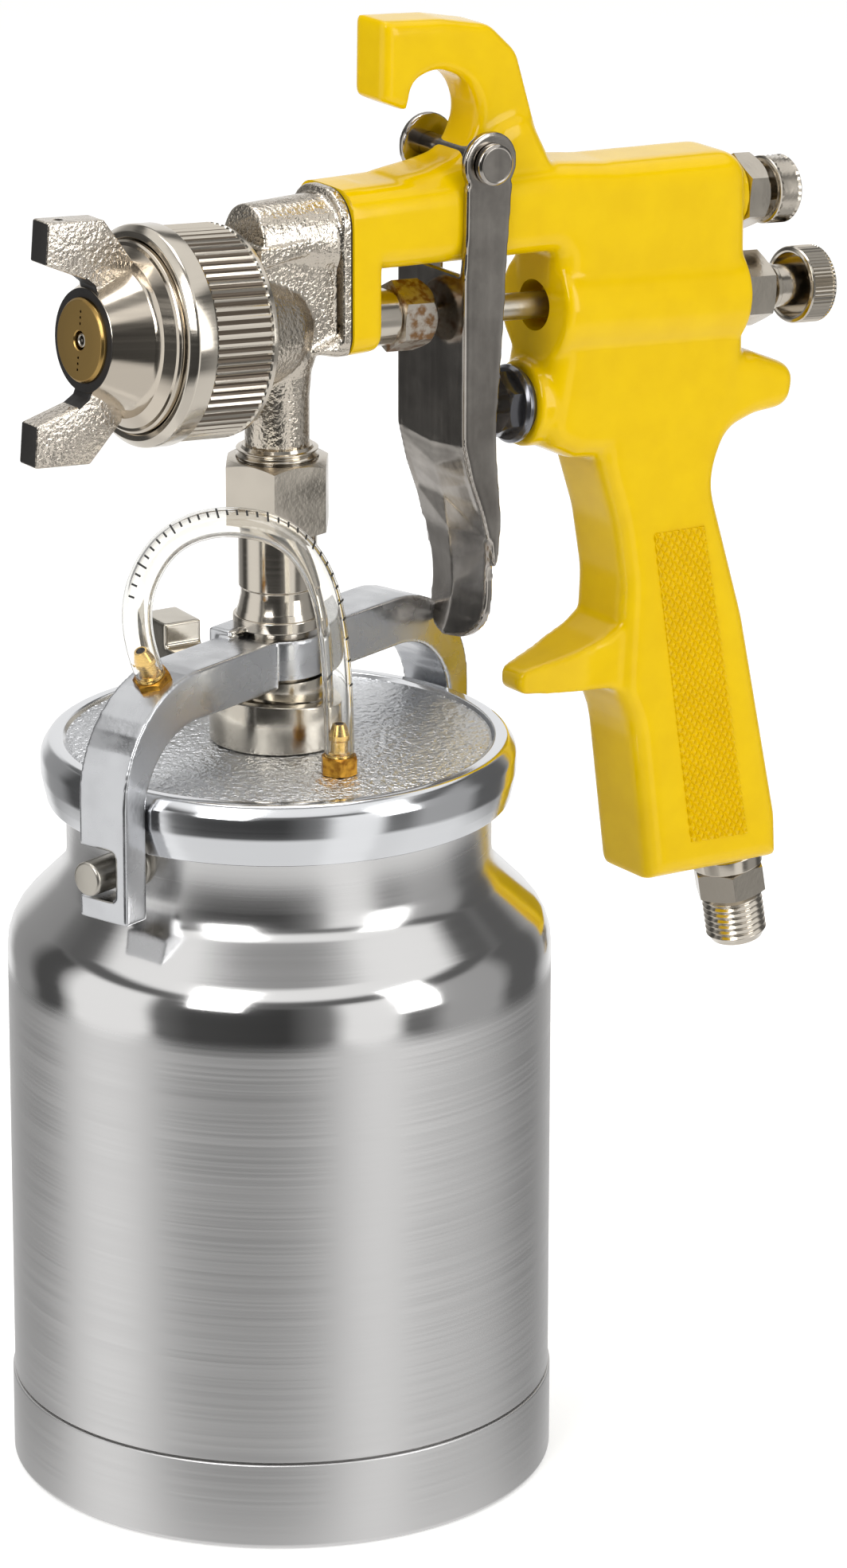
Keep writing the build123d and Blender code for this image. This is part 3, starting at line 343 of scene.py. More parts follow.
cup_radius = 55.5
pan_top = 18.5
cup_profile = [
    (0, 1.25), (54.36, 1.25), (54.36, pan_top + 0.3), (cup_radius, pan_top + 0.5),
    (cup_radius, 116, 12), (43.2, 128.4, 8), (43.2, 141), (45.5, 147.5), (45.5, 151.5),
    (44, 151.5), (44, 147.8), (41.7, 141.2), (41.7, 127.8, 7), (54, 115.4, 11),
    (54, pan_top + 1), (52.8, pan_top), (52.8, 2.75), (0, 2.75),
]
wall_end, shoulder_start, shoulder_end, neck_start = 0.1065, 0.109, 0.126, 0.131
cup_polish = [(wall_end, 1), (shoulder_start, 0.28), (shoulder_end, 0.26), (neck_start, 0.6)]
cup = lathe("cup_shell", cup_profile, 224)
brushed_aluminium = turned_metal(
    "brushed_aluminium_can", "#DEDDDC", 0.43, 0.0006, 0.000005, 0.04, cup_polish
)
finish(cup, "cup", "cup_aluminium", brushed_aluminium, "cup_body")

# The base pan is pressed over the can's foot, so a dark hairline runs round above it.
# It is brushed like the wall.
pan_profile = [(0, 0), (55.9, 0, 1.2), (55.9, pan_top, 0.35), (54.4, pan_top), (54.4, 1.22), (0, 1.22)]
pan = lathe("base_pan", pan_profile, 224)
finish(pan, "cup", "cup_aluminium", brushed_aluminium, "cup_base_pan")


# The yoke hooks under two steel studs in the can's neck. Each stud is a turned pin with an eased
# end, and stands on a plated washer.
def hollow(name, profile, steps, lay=None):
    """A turned piece with a bore: its profile runs back to where it began."""
    return lathe(name, profile + profile[:1], steps, lay)


def rod(name, radius, low, high, steps, lay=None):
    """A plain round bar between two heights. Most of them are drills."""
    return lathe(name, [(0, low), (radius, low), (radius, high), (0, high)], steps, lay)


def copy_turned(piece, name, degrees):
    """A second piece of the same shape, turned round the cup's axis."""
    other = piece.copy()
    other.data = piece.data.copy()
    other.name = name
    bpy.context.scene.collection.objects.link(other)
    other.matrix_world = turned("Z", degrees) @ piece.matrix_world
    return other


def cast_metal(name, colour, rough, grain_size, depth, patch=0.06):
    """Cast or wrought metal: a fine grain in the surface, and patches that are duller or brighter."""
    material, shader = new_material(name, {"Base Color": colour, "Metallic": 1.0})
    set_gloss(shader, noise(shader, 140.0), (rough - patch, rough + patch), 0.3, 0.7)
    set_bump(shader, noise(shader, 1 / grain_size), 0.8, depth)
    return material


yoke_azimuth = 16.6
stud_azimuth = yoke_azimuth - 2.6
stud_height = 138.8
turned_steel = cast_metal("turned_steel", "#BDB8AE", 0.32, 0.0008, 0.00002)
stud = lathe("neck_stud", [(0, 43.1), (3.5, 43.1), (3.5, 57, 0.7), (0, 57.25)], 40)
washer_profile = [(3.52, 43), (4.4, 43, 0.3), (5, 43.6, 0.4), (5, 44.6, 0.4), (3.52, 44.6)]
washer = hollow("stud_washer", washer_profile, 40)
for piece, node in ((stud, "neck_studs"), (washer, "stud_washers")):
    lay = turned("Z", stud_azimuth) @ shifted(0, 0, stud_height)
    piece.matrix_world = lay @ turned("Y", 90)
    other = copy_turned(piece, piece.name + "_far", 180)
    finish(piece, "cup", "steel", turned_steel, node)
    finish(other, "cup", "steel", turned_steel, node)

# The lid is a pressed cap. Its rim is buffed like a mirror, and its plate keeps the wrinkled
# skin of the die. A thin gasket lies under it, out of sight.
rim_profile = [
    (46.2, 142.8), (47, 142.8, 0.35), (47.6, 145.4, 3), (48.2, 148.4, 6), (48.2, 152.6, 3.2),
    (46.4, 155.3, 1.6), (43.9, 155.3, 0.8), (43.1, 154.6), (43.1, 153), (46.2, 153),
]
lid = hollow("lid_rim", rim_profile, 192)
buffed_aluminium = turned_metal("buffed_aluminium_rim", "#E2E3E5", 0.13, 0.0012, 0.000006, 0.04)
finish(lid, "cup", "cup_aluminium", buffed_aluminium, "lid")
lid_top = 154.7
plate_profile = [(0, lid_top), (42.2, lid_top), (42.7, 154.45), (43.1, 154.6), (43.1, 153.02), (0, 153.02)]
plate = lathe("lid_plate", plate_profile, 144)
wrinkled_aluminium = cast_metal("wrinkled_aluminium_plate", "#D6D7D9", 0.3, 0.0014, 0.0013, 0.03)
finish(plate, "cup", "cup_aluminium", wrinkled_aluminium, "lid")
rubber, _ = new_material("moulded_nitrile_rubber", {"Base Color": "#262626", "Roughness": 0.6})


# The clamp turns on the cup's middle tube: a turned ring whose top slopes round, with a forged
# lever, and above it the collar that the ring lifts. Both are nickel plated.
def soften(piece, width, segments=3, angle=35):
    """Rounds the piece's sharp edges over, as tumbling and plating do."""
    limits = {"limit_method": "ANGLE", "angle_limit": math.radians(angle), "use_clamp_overlap": True}
    apply_modifier(piece, "BEVEL", width=width * MM, segments=segments, **limits)


def slice_off(height, away, **side):
    """Cuts the active piece with a plane through the Z axis at this height, and drops one side."""
    edit(everything=True)
    bpy.ops.mesh.bisect(plane_co=(0, 0, height * MM), plane_no=away, use_fill=True, **side)
    clean()


def box(name, corner, opposite):
    """A block between two opposite corners, in millimetres."""
    centre = [(a + b) / 2 * MM for a, b in zip(corner, opposite)]
    piece = start(name, bpy.ops.mesh.primitive_cube_add, size=1, location=centre)
    piece.scale = [abs(b - a) * MM for a, b in zip(corner, opposite)]
    return settle(piece)


def join(pieces, name):
    pick(*pieces)
    bpy.ops.object.join()
    pieces[0].name = name
    return pieces[0]


def fuse(pieces, name, grid, smoothing):
    """Runs solids into one casting: fillets form where they meet, and edges are rounded."""
    piece = join(pieces, name)
    apply_modifier(piece, "REMESH", mode="VOXEL", voxel_size=grid * MM)
    apply_modifier(piece, "SMOOTH", factor=0.5, iterations=smoothing)
    return piece


plated_steel = cast_metal("nickel_plated_steel", "#C8C1B4", 0.2, 0.0012, 0.00002)
tube_bore = 6.55
cam_middle, collar_rise = 163.4, 0.85
slope, cam_azimuth, lever_azimuth = math.radians(7), math.radians(35), 85
cam_profile = [(tube_bore, 154.9), (14, 154.9, 0.4), (14, 168), (tube_bore, 168)]
ring = hollow("cam_ring", cam_profile, 120)
drift = math.sin(slope)
high_side = (math.cos(cam_azimuth) * drift, math.sin(cam_azimuth) * drift, math.cos(slope))
slice_off(cam_middle, high_side, clear_outer=True)
soften(ring, 0.35)
finish(ring, "cam_lever", "nickel", plated_steel, "cam_lever")
lever = [
    box("arm", (12.5, -4.25, 157.0), (46.5, 4.25, 163.0)),
    box("arm_end", (40.5, -4.25, 157.0), (51.4, 4.25, 168.0)),
    box("arm_root", (9.0, -5.5, 156.4), (15.5, 5.5, 161.2)),
]
arm = fuse(lever, "cam_arm", 0.45, 4)
finish(arm, "cam_lever", "nickel", plated_steel, sharp=60, lay=turned("Z", lever_azimuth))
collar_profile = [(tube_bore, 158), (9.5, 158), (9.5, 168.5), (tube_bore, 168.5)]
follower = hollow("cam_collar", collar_profile, 96)
slice_off(cam_middle + collar_rise, (drift, 0, math.cos(slope)), clear_inner=True)
soften(follower, 0.3)
finish(follower, "cam_follower", "nickel", plated_steel, "cam_follower")


# The yoke is a cast aluminium arch, fettled on its edges. A slot in each leg, open at one side,
# hooks under a stud when the yoke is turned home.
def slab(name, corners, low, high):
    """A flat piece cut to an outline in the XZ plane, between two values of y in millimetres."""
    low, high = sorted((low, high))
    piece = draw(name, rounded(corners, 9))
    bpy.ops.mesh.select_all(action="SELECT")
    bpy.ops.mesh.edge_face_add()
    bpy.ops.mesh.extrude_region_move(TRANSFORM_OT_translate={"value": (0, (high - low) * MM, 0)})
    bpy.ops.mesh.select_all(action="SELECT")
    bpy.ops.transform.translate(value=(0, low * MM, 0))
    clean()
    return piece


def cut(piece, *tools, operation="DIFFERENCE"):
    for tool in tools:
        apply_modifier(piece, "BOOLEAN", object=tool, operation=operation, solver="EXACT")
        bpy.data.objects.remove(tool)
    return piece


arch_top, arch_under, arch_foot = 177.5, 167.3, 130.0
arch_half, leg_inner = 55.0, 48.7
arch_outline = [
    (-arch_half, arch_top, 30), (arch_half, arch_top, 30), (arch_half, arch_foot),
    (leg_inner, arch_foot), (leg_inner, arch_under, 16), (-leg_inner, arch_under, 16),
    (-leg_inner, arch_foot), (-arch_half, arch_foot),
]
arch = slab("yoke_arch", arch_outline, -6, 6)
for side in (1, -1):
    slot = box("slot", (side * 44, side * 3, 134.5), (side * 60, -side * 9, 144.9))
    soften(slot, 1.2, angle=60)
    cut(arch, slot)
hub = rod("hub", 9.8, arch_under, arch_top, 64)
lug = box("lug", (-11.5, 3.0, 170.0), (-2.5, 8.6, 178.9))
yoke = fuse([arch, hub, lug], "yoke_casting", 0.42, 5)
cut(yoke, rod("bore", 6.56, 150, 190, 64), rod("sink", 9.86, 160, 169.4, 64))
cast_aluminium = cast_metal("cast_aluminium_yoke", "#CFD0D2", 0.27, 0.0011, 0.00003, 0.09)
yoke_place = turned("Z", yoke_azimuth)
finish(yoke, "yoke", "cast_aluminium", cast_aluminium, "yoke", sharp=50, lay=yoke_place)


# The two brass barbs carry the vent hose. Each is turned from hexagon bar: a six-sided foot, a
# waisted stem and a coned tip with a drilled hole. The foot has tarnished more than the stem.
def hexagon_bar(name, across, low, high, ease_low=0.0, ease_high=0.0):
    """Hexagon bar along Z whose corners are turned off at either end."""
    radius = across / math.sqrt(3)
    bar = start(
        name,
        bpy.ops.mesh.primitive_cylinder_add,
        vertices=6,
        radius=radius * MM,
        depth=(high - low) * MM,
        location=(0, 0, (low + high) / 2 * MM),
        rotation=(0, 0, math.radians(30)),
    )
    settle(bar)
    corner, flat = radius + 0.05, across / 2 - 0.1
    profile = [
        (0, low),
        (flat if ease_low else corner, low),
        (corner, low + ease_low),
        (corner, high - ease_high),
        (flat if ease_high else corner, high),
        (0, high),
    ]
    profile = [point for i, point in enumerate(profile) if point not in profile[:i]]
    return cut(bar, lathe("turned_shape", profile, 72), operation="INTERSECT")


tarnished_brass, shader = new_material("tarnished_brass", {"Metallic": 1.0, "Roughness": 0.36})
set_tones(shader, noise(shader, 700.0, 3.0), (0.35, "#8A5A22"), (0.62, "#C79438"))
turned_brass = turned_metal("turned_brass", "#D9B56A", 0.24, 0.00025, 0.00001)
stem_profile = [
    (1, 2.6), (2.3, 2.6), (2.3, 4.2, 0.15), (1.75, 4.5), (1.75, 6.9), (2.1, 7.2, 0.15),
    (2.1, 8.2, 0.4), (1.3, 10.4, 0.1), (0.95, 10.4), (0.95, 6), (0.95, 2.6),
]
corner_radius, barb_lean = 30.0, 27
corner_x, corner_z = corner_radius - arch_half, arch_top - corner_radius
out_x = corner_radius * math.sin(math.radians(barb_lean))
up_z = corner_radius * math.cos(math.radians(barb_lean))
on_lid = shifted(-3.6, -26.8, lid_top)
on_yoke = yoke_place @ shifted(corner_x - out_x, -0.5, corner_z + up_z) @ turned("Y", -barb_lean)
for stand, body, node in ((on_lid, "cup", "lid_barb"), (on_yoke, "yoke", "yoke_barb")):
    foot = hexagon_bar(node + "_foot", 6.8, 0.02, 3.8, 0.3, 0.5)
    stem = lathe(node + "_stem", stem_profile, 48)
    finish(foot, body, "brass", tarnished_brass, node, lay=stand)
    finish(stem, body, "brass", turned_brass, node, lay=stand)

# The vent hose is clear PVC tube pushed over the two barbs. It stands up in an arch, because that
# is the way it was coiled. The gauge marks printed along its outer side are plain strokes.
clear_look = {"Base Color": "#FCFBF8", "Roughness": 0.03, "IOR": 1.4, "Transmission Weight": 1.0}
clear_pvc, _ = new_material("clear_pvc_tube", clear_look)
printed_ink, _ = new_material("black_print", {"Base Color": "#2B2B2B", "Roughness": 0.5})
hose_wall = 0.75
hose_outer = 3.0
foot_height = 3.82
hose_points = [
    on_yoke @ Vector((0, 0, foot_height * MM)),
    on_yoke @ Vector((0, 0, 18.0 * MM)),
    Vector((-38.9, -15.4, 205.4)) * MM,
    Vector((-27.4, -20.4, 210.2)) * MM,
    Vector((-11.6, -25.2, 205.0)) * MM,
    on_lid @ Vector((0, 0, 31.3 * MM)),
    on_lid @ Vector((0, 0, foot_height * MM)),
]


def hose_mesh(name, radius):
    """The hose's line as a mesh: its points alone, or a tube of this radius round them.

    The line is a NURBS curve that runs near the points given and ends on the first and the last."""
    data = bpy.data.curves.new("line", "CURVE")
    data.dimensions = "3D"
    data.resolution_u = 14
    data.bevel_depth = radius * MM
    data.bevel_resolution = 7
    line = data.splines.new("NURBS")
    line.points.add(len(hose_points) - 1)
    for mark, point in zip(line.points, hose_points):
        mark.co = (*point, 1)
    line.order_u = 3
    line.use_endpoint_u = True
    curve = bpy.data.objects.new("line", data)
    bpy.context.scene.collection.objects.link(curve)
    piece = bpy.data.objects.new(name, bpy.data.meshes.new_from_object(curve))
    bpy.context.scene.collection.objects.link(piece)
    bpy.data.objects.remove(curve)
    pick(piece)
    return piece


route = hose_mesh("route", 0)
route_points = [Vector(v.co) for v in route.data.vertices]
bpy.data.objects.remove(route)
hose = hose_mesh("vent_hose_tube", hose_outer)
edit()
clean()
apply_modifier(hose, "SOLIDIFY", thickness=hose_wall * MM, offset=-1, use_rim=True)
bpy.ops.object.shade_smooth_by_angle(angle=math.radians(40))
hose.data.materials.append(clear_pvc)

# The print: short strokes across the tube at every second point of its line, with a longer one at
# every fifth stroke. They stand on the side away from the arch's middle.
print_start, print_end = 0.018, 0.098
stroke_width, stroke_long, stroke_short, ink_height = 0.0004, 0.0024, 0.0013, 0.00012
arch_middle = Vector((-0.020, 0.0, 0.178))
strokes = []
walked = 0.0
for i, (here, there) in enumerate(zip(route_points, route_points[1:])):
    walked += (there - here).length
    if not print_start < walked < print_end or i % 2:
        continue
    along = (there - here).normalized()
    side = along.cross((here - arch_middle).normalized()).normalized()
    out = side.cross(along).normalized()
    reach = stroke_long if (i // 2) % 5 == 0 else stroke_short
    turn = Matrix((along, side, out)).transposed().to_4x4()
    size = Matrix.Diagonal((stroke_width, reach, ink_height, 1))
    strokes.append(start("stroke", bpy.ops.mesh.primitive_cube_add, size=1))
    strokes[-1].matrix_world = Matrix.Translation(here + out * hose_outer * MM) @ turn @ size
print_marks = join(strokes, "hose_print")
print_marks.data.materials.clear()
print_marks.data.materials.append(printed_ink)
bpy.ops.object.transform_apply(location=True, rotation=True, scale=True)

# The hose hangs on the yoke at one end and on the lid at the other. Its place is fixed in its mesh.
for piece in (hose, print_marks):
    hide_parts("vent_hose")
    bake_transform(piece)

# The middle tube carries the whole gun. It is turned from bar and nickel plated, with a flange over
# the yoke, a cone above it, and a head that the coupling nut draws up.
bright_nickel = turned_metal("turned_nickel_plate", "#CFC7BA", 0.15, 0.0007, 0.000008, 0.04)
fluid_bore = 3.5
tube_profile = [
    (fluid_bore, 147.5), (6.5, 147.5), (6.5, 178.6), (9.1, 178.6, 0.3), (9.1, 181, 0.3),
    (8.5, 181), (8.2, 182.2, 0.3), (8, 182.6), (7.5, 185.2, 1.2), (7.5, 186.6, 0.4),
    (7.95, 187, 0.2), (7.95, 201), (8.2, 201), (8.2, 203.3), (fluid_bore, 203.3),
]
middle_tube = hollow("fluid_tube_turned", tube_profile, 96)
finish(middle_tube, "cup", "nickel", bright_nickel, "fluid_tube")

# The coupling nut is hexagon bar, chamfered at both ends, and plated over the mill's dull skin.
coupling_azimuth = 53
coupling = hexagon_bar("coupling_nut_hex", 20.0, 198.7, 213.5, 0.6, 1.0)
way_profile = [(0, 197), (8, 197), (8, 201), (8.35, 201), (8.35, 215), (0, 215)]
cut(coupling, lathe("nut_way", way_profile, 72))
soften(coupling, 0.25, 2, 40)
plated_bar = cast_metal("nickel_plated_hexagon_bar", "#CBC3B6", 0.2, 0.0009, 0.00003, 0.08)
nut_place = turned("Z", coupling_azimuth)
finish(coupling, "coupling_nut", "nickel", plated_bar, "coupling_nut", lay=nut_place)

# The fluid head is one plated brass casting: a ball where the stem meets the barrel, a threaded disc
# for the ring, an air ridge on top, a panelled side and a flat flange. It keeps the sand's grain.
gun_z = 240.4
gun_tilt = 4.63
fan_height, valve_height = 20.8, -20.3
at_gun = shifted(0, 0, gun_z)
on_axis = at_gun @ turned("Y", gun_tilt)
facing_rear = turned("Z", 90)


def flange_plate(name, half, bottom, top, bottom_radius, top_radius, rear, front):
    """A plate across the gun's length, between two heights, with rounded corners."""
    bottom_corners = [(-half, bottom, bottom_radius), (half, bottom, bottom_radius)]
    outline = [(-half, top, top_radius), *bottom_corners, (half, top, top_radius)]
    return slab(name, outline, rear, front)


def above_axis(height):
    """Lays a turned piece along the gun's axis, at this height over it."""
    return on_axis @ shifted(0, 0, height) @ turned("Y", 90)


round_axis = above_axis(0)


barrel_profile = [
    (0, -27.8), (20, -27.8, 0.5), (20, -15.5, 0.8), (14.4, -11.8, 3), (12.8, -7, 4),
    (10.8, -0.5, 5), (7.6, 3.6, 4), (3, 6), (0, 6.5),
]
barrel = lathe("head_barrel", barrel_profile, 96, round_axis)
ridge_profile = [(0, -9.3), (7.3, -9.3, 0.4), (9.4, 14), (0, 14)]
ridge = lathe("head_ridge", ridge_profile, 64, above_axis(17.6))
web_outline = [(-9.3, 14.2), (10, 17), (14, 17), (14, 19), (-9.3, 18)]
ridge_web = slab("ridge_web", web_outline, -8.4, 8.4)
pad_outline = [(-12, 17), (-12, -2, 4), (2, -5.4, 4), (14, -5.8), (14, 17)]
side_pad = slab("head_pad", pad_outline, -7.2, 7.2)
lower_outline = [(2.2, -4.6), (9, -6.4, 3), (14, -6.6), (14, -2), (9.6, -2)]
lower_pad = slab("head_lower_pad", lower_outline, -8.9, 8.9)
soften(lower_pad, 1.5, 3, 60)
border = flange_plate("head_border", 9.4, -6.8, 27.0, 4.2, 7.5, -14.0, -9.7)
settle(border, facing_rear)
for piece in (ridge_web, side_pad, lower_pad, border):
    settle(piece, at_gun)
stem = rod("head_stem", 6.5, 216.0, 238.4, 64)
root_profile = [(0, 226.5), (6.55, 226.5), (6.9, 231, 4), (8, 234.5), (8, 239), (0, 239)]
stem_root = lathe("stem_root", root_profile, 64)
head_parts = [barrel, ridge, ridge_web, side_pad, lower_pad, border, stem, stem_root]
head = fuse(head_parts, "fluid_head_casting", 0.4, 2)
for side in (1, -1):
    groove_outline = [(9.4, 17.4), (9.9, 17.4), (9.9, -1.6), (9.4, -1.6)]
    cut(head, settle(slab("groove", groove_outline, side * 6.5, side * 9.0), at_gun))
bore_profile = [
    (0, -29), (6.02, -29), (6.02, -17), (3.2, -17), (3.2, 8), (1.6, 8), (1.6, 10.5), (0, 10.5)
]
needle_bore = lathe("needle_bore", bore_profile, 48, round_axis)
cut(head, settle(box("flat_rear", (11.5, -20, -20), (20, 20, 40)), at_gun))
cut(head, needle_bore, rod("fluid_way", fluid_bore, 200, gun_z, 40))
apply_modifier(head, "SMOOTH", factor=0.5, iterations=1)
cast_nickel = cast_metal("nickel_plated_sand_casting", "#CFC6B8", 0.2, 0.0009, 0.0003, 0.07)
finish(head, "gun", "nickel", cast_nickel, "fluid_head", sharp=45)

# The gasket behind the head is cut to the border's outline. The needle and the air go through it.
sheet = flange_plate("head_gasket_sheet", 9.2, -6.6, 26.8, 4.2, 7.4, -12.0, -11.5)
settle(sheet, at_gun @ facing_rear)
cut(sheet, rod("shank_way", 5.9, 5, 20, 40, round_axis))
cut(sheet, rod("duct_way", 4, 5, 20, 40, above_axis(fan_height)))
finish(sheet, "gun", "seal", rubber, "head_gasket")

# The shank behind the flange is turned on the same casting, and the collar at the stem's foot keeps
# the last crests of its thread. Both are cut bright.
shank_profile = [
    (1.6, 10), (5.8, 10), (5.8, 26.6, 0.4), (5.3, 27), (3.92, 27), (3.92, 18), (1.6, 18)
]
shank = hollow("head_shank", shank_profile, 56, round_axis)
finish(shank, "gun", "nickel", bright_nickel)
crests = [(3.52, 203.4), (8.1, 203.4)]
for i in range(9):
    foot = 204.0 + 1.34 * i
    crests += [(7.6, foot, 0.15), (8.28, foot + 0.55, 0.18), (8.28, foot + 0.75, 0.18)]
crests += [(7.4, 215.6), (7.1, 216.2), (3.52, 216.2)]
thread = hollow("stem_thread", crests, 96)
finish(thread, "gun", "nickel", bright_nickel)


# The retaining ring is turned brass under nickel. A polished lip and band lead to seventy-two
# straight flutes, rolled in for the fingers, and a thin plain edge behind them.
def reshape(piece, rule, change, **amount):
    """Changes the vertices whose place in millimetres fits the rule, with an edit operator."""
    pick(piece)
    for vertex in piece.data.vertices:
        vertex.select = rule(*(c / MM for c in vertex.co))
    for part in (*piece.data.edges, *piece.data.polygons):
        part.select = False
    edit()
    change(**amount)
    bpy.ops.object.mode_set(mode="OBJECT")


def press(piece, radius, depth, low, high, rule):
    """Sinks a turned band where the rule holds for (share of a full turn, height)."""

    def on_band(x, y, z):
        turn = math.degrees(math.atan2(y, x)) % 360 / 360
        return low < z < high and abs(math.hypot(x, y) - radius) < 0.02 and rule(turn, z)

    share = 1 - depth / radius
    reshape(piece, on_band, bpy.ops.transform.resize, value=(share, share, 1))


def press_flutes(piece, count, radius, depth, low, high):
    """Presses straight flutes into a turned band between two heights, in two steps of depth."""
    for level, part in ((0.62, (1, 3)), (1.0, (2,))):
        press(piece, radius, depth * level, low, high, lambda turn, z: round(turn * count * 4) % 4 in part)


flute_low, flute_high = -28.0, -15.2
ring_profile = [
    (19.2, -34.1), (19.5, -34.4, 0.1), (20.6, -34.4, 0.6), (22, -33, 1), (22, -28.8, 0.15),
    (21.4, -28.5), (21.3, -28.2), (21.3, -27.9), (21.3, -15.3), (21.3, -15), (21, -14.9),
    (21, -13.7, 0.3), (20.06, -13.7), (20.06, -32.8), (19.2, -32.8),
]
retaining_ring = hollow("retaining_ring_turned", ring_profile, 288)
press_flutes(retaining_ring, 72, 21.3, 0.62, flute_low, flute_high)
ring_look = ("retaining_ring", "nickel", bright_nickel, "retaining_ring")
finish(retaining_ring, *ring_look, sharp=25, lay=round_axis)
# The flutes' sunk faces get a darker, rougher nickel: painted shade in the flutes.
flute_painted_shade = cast_metal("painted_shade_in_the_flutes", "#6B6156", 0.42, 0.0006, 0.00002)
retaining_ring.data.materials.append(flute_painted_shade)
for face in retaining_ring.data.polygons:
    spot = round_axis.inverted() @ face.center / MM
    sunk = 19.9 < math.hypot(spot.x, spot.y) < 21.08 and flute_low < spot.z < flute_high
    if sunk and face.area > 1e-8:
        face.material_index = 1

# The air cap is a plated brass forging: a turned cone between two horns. The horns keep the
# forging's grain on their sides, and their front faces are painted black: a painted dark reflection.
cone_profile = [
    (8.46, -45.4), (8.7, -45.6), (10.2, -45.6, 0.5), (14.3, -38.1, 0.5), (14.9, -37.5),
    (15.9, -37.2, 0.3), (17.9, -35.6, 0.2), (18.6, -35.5, 0.3), (19, -35.1, 0.2), (19, -32.75),
    (19.7, -32.75), (19.7, -29.4), (12, -29.4), (12, -36.5), (8.46, -41),
]
cap_cone = hollow("air_cap_cone", cone_profile, 128, round_axis)
polished_nickel = turned_metal("polished_nickel_cap", "#CDC3B4", 0.14, 0.0009, 0.000006, 0.05)
finish(cap_cone, "air_cap", "nickel", polished_nickel, "air_cap")
horn_outline = [
    (-57, 16, 0.5), (-57, 24.3, 0.6), (-44.2, 24.3, 0.8), (-37.4, 16.2, 0.6), (-37, 12.5),
    (-40.5, 9), (-44.9, 9.2), (-45.5, 11.2, 0.8), (-47.6, 12.7, 1.2),
]
cast_horn = cast_metal("nickel_plated_forging", "#D6CDC0", 0.2, 0.0009, 0.0003, 0.06)
horns = []
for side, name in ((1, "upper_horn"), (-1, "lower_horn")):
    horn = slab(name, [(x, side * z, *r) for x, z, *r in horn_outline], -2.9, 2.9)
    edit()
    clean()
    soften(horn, 0.35, 3, 50)
    jet_way = shifted(-48.5, 0, side * 19.0) @ turned("Y", 90 + side * 50)
    cut(horn, rod("jet", 0.8, -11, 11, 20, jet_way))
    finish(horn, "air_cap", "nickel", cast_horn, "air_cap", sharp=40, lay=on_axis)
    horns.append(horn)

# The horns' front faces are painted black as a painted dark reflection, and their faces towards the
# disc are painted black as painted shade.
painted_shade_and_dark_reflection, shader = new_material("black_painted_shade_and_reflection", {"Base Color": "#171412"})
set_gloss(shader, noise(shader, 900.0, 3.0), (0.35, 0.65))
to_axis = on_axis.inverted()
for horn in horns:
    horn.data.materials.append(painted_shade_and_dark_reflection)
    for face in horn.data.polygons:
        spot = to_axis @ face.center / MM
        facing = to_axis.to_3x3() @ face.normal
        # Front faces get the painted dark reflection; faces turned towards the disc get the painted shade.
        in_front = facing.x < -0.8 and spot.x < -56.5
        by_disc = spot.x > -49.0 and abs(spot.z) < 13.5 and facing.z * spot.z < 0
        if in_front or by_disc:
            face.material_index = 1
# A thin black ring in the gap round the disc: painted shade.
gap_profile = [(8.45, -45.62), (10.2, -45.62), (10.2, -45.5), (8.45, -45.5)]
painted_shade_ring = hollow("painted_shade_ring", gap_profile, 96, round_axis)
finish(painted_shade_ring, "air_cap", "black_steel", painted_shade_and_dark_reflection)

# The spray disc is brass, faced off in the lathe, with the fluid tip shining in its middle.
faced_look = {
    "Metallic": 1.0,
    "Base Color": "#B8975A",
    "Roughness": 0.3,
    "Anisotropic": 0.75,
    "Anisotropic Rotation": 0.0,
}
faced_brass, shader = new_material("faced_brass_disc", faced_look)
tree = shader.id_data
place = add(tree, "ShaderNodeTexCoord").outputs["Object"]
centred = add(tree, "ShaderNodeMapping", {"Vector": place, "Location": (0, 0, -gun_z * MM)}).outputs[0]
round_marks = add(tree, "ShaderNodeVectorMath", {0: centred}, operation="LENGTH").outputs["Value"]
sockets = {"W": round_marks, "Scale": 5000.0, "Detail": 2.0}
marks = add(tree, "ShaderNodeTexNoise", sockets, noise_dimensions="1D")
set_bump(shader, marks.outputs["Fac"], 0.5, 0.00002)
disc_profile = [
    (1.9, -46.35), (2.1, -46.55), (7.9, -46.6, 0.3), (8.4, -46.1, 0.3), (8.4, -41),
    (6.6, -41), (2.3, -45.4), (1.9, -45.4),
]
disc = hollow("spray_disc", disc_profile, 96, round_axis)
heights = [side * height for height in (3.4, 4.6, 5.8) for side in (1, -1)]
holes = [rod("hole", 0.28, -47.5, -44.0, 14, above_axis(height)) for height in heights]
cut(disc, join(holes, "holes"))
finish(disc, "air_cap", "brass", faced_brass, "air_cap_insert")
tip_profile = [
    (0.9, -45.9), (1.1, -46.1, 0.1), (1.4, -46, 0.1), (1.6, -43.1), (5, -38.1),
    (6.4, -33.2, 0.4), (7.4, -33.2, 0.3), (7.4, -28.2), (6, -28.2), (6, -18),
    (3, -18), (3, -36), (0.9, -43),
]
nozzle = hollow("fluid_tip", tip_profile, 64, round_axis)
finish(nozzle, "gun", "steel", turned_steel, "fluid_nozzle")


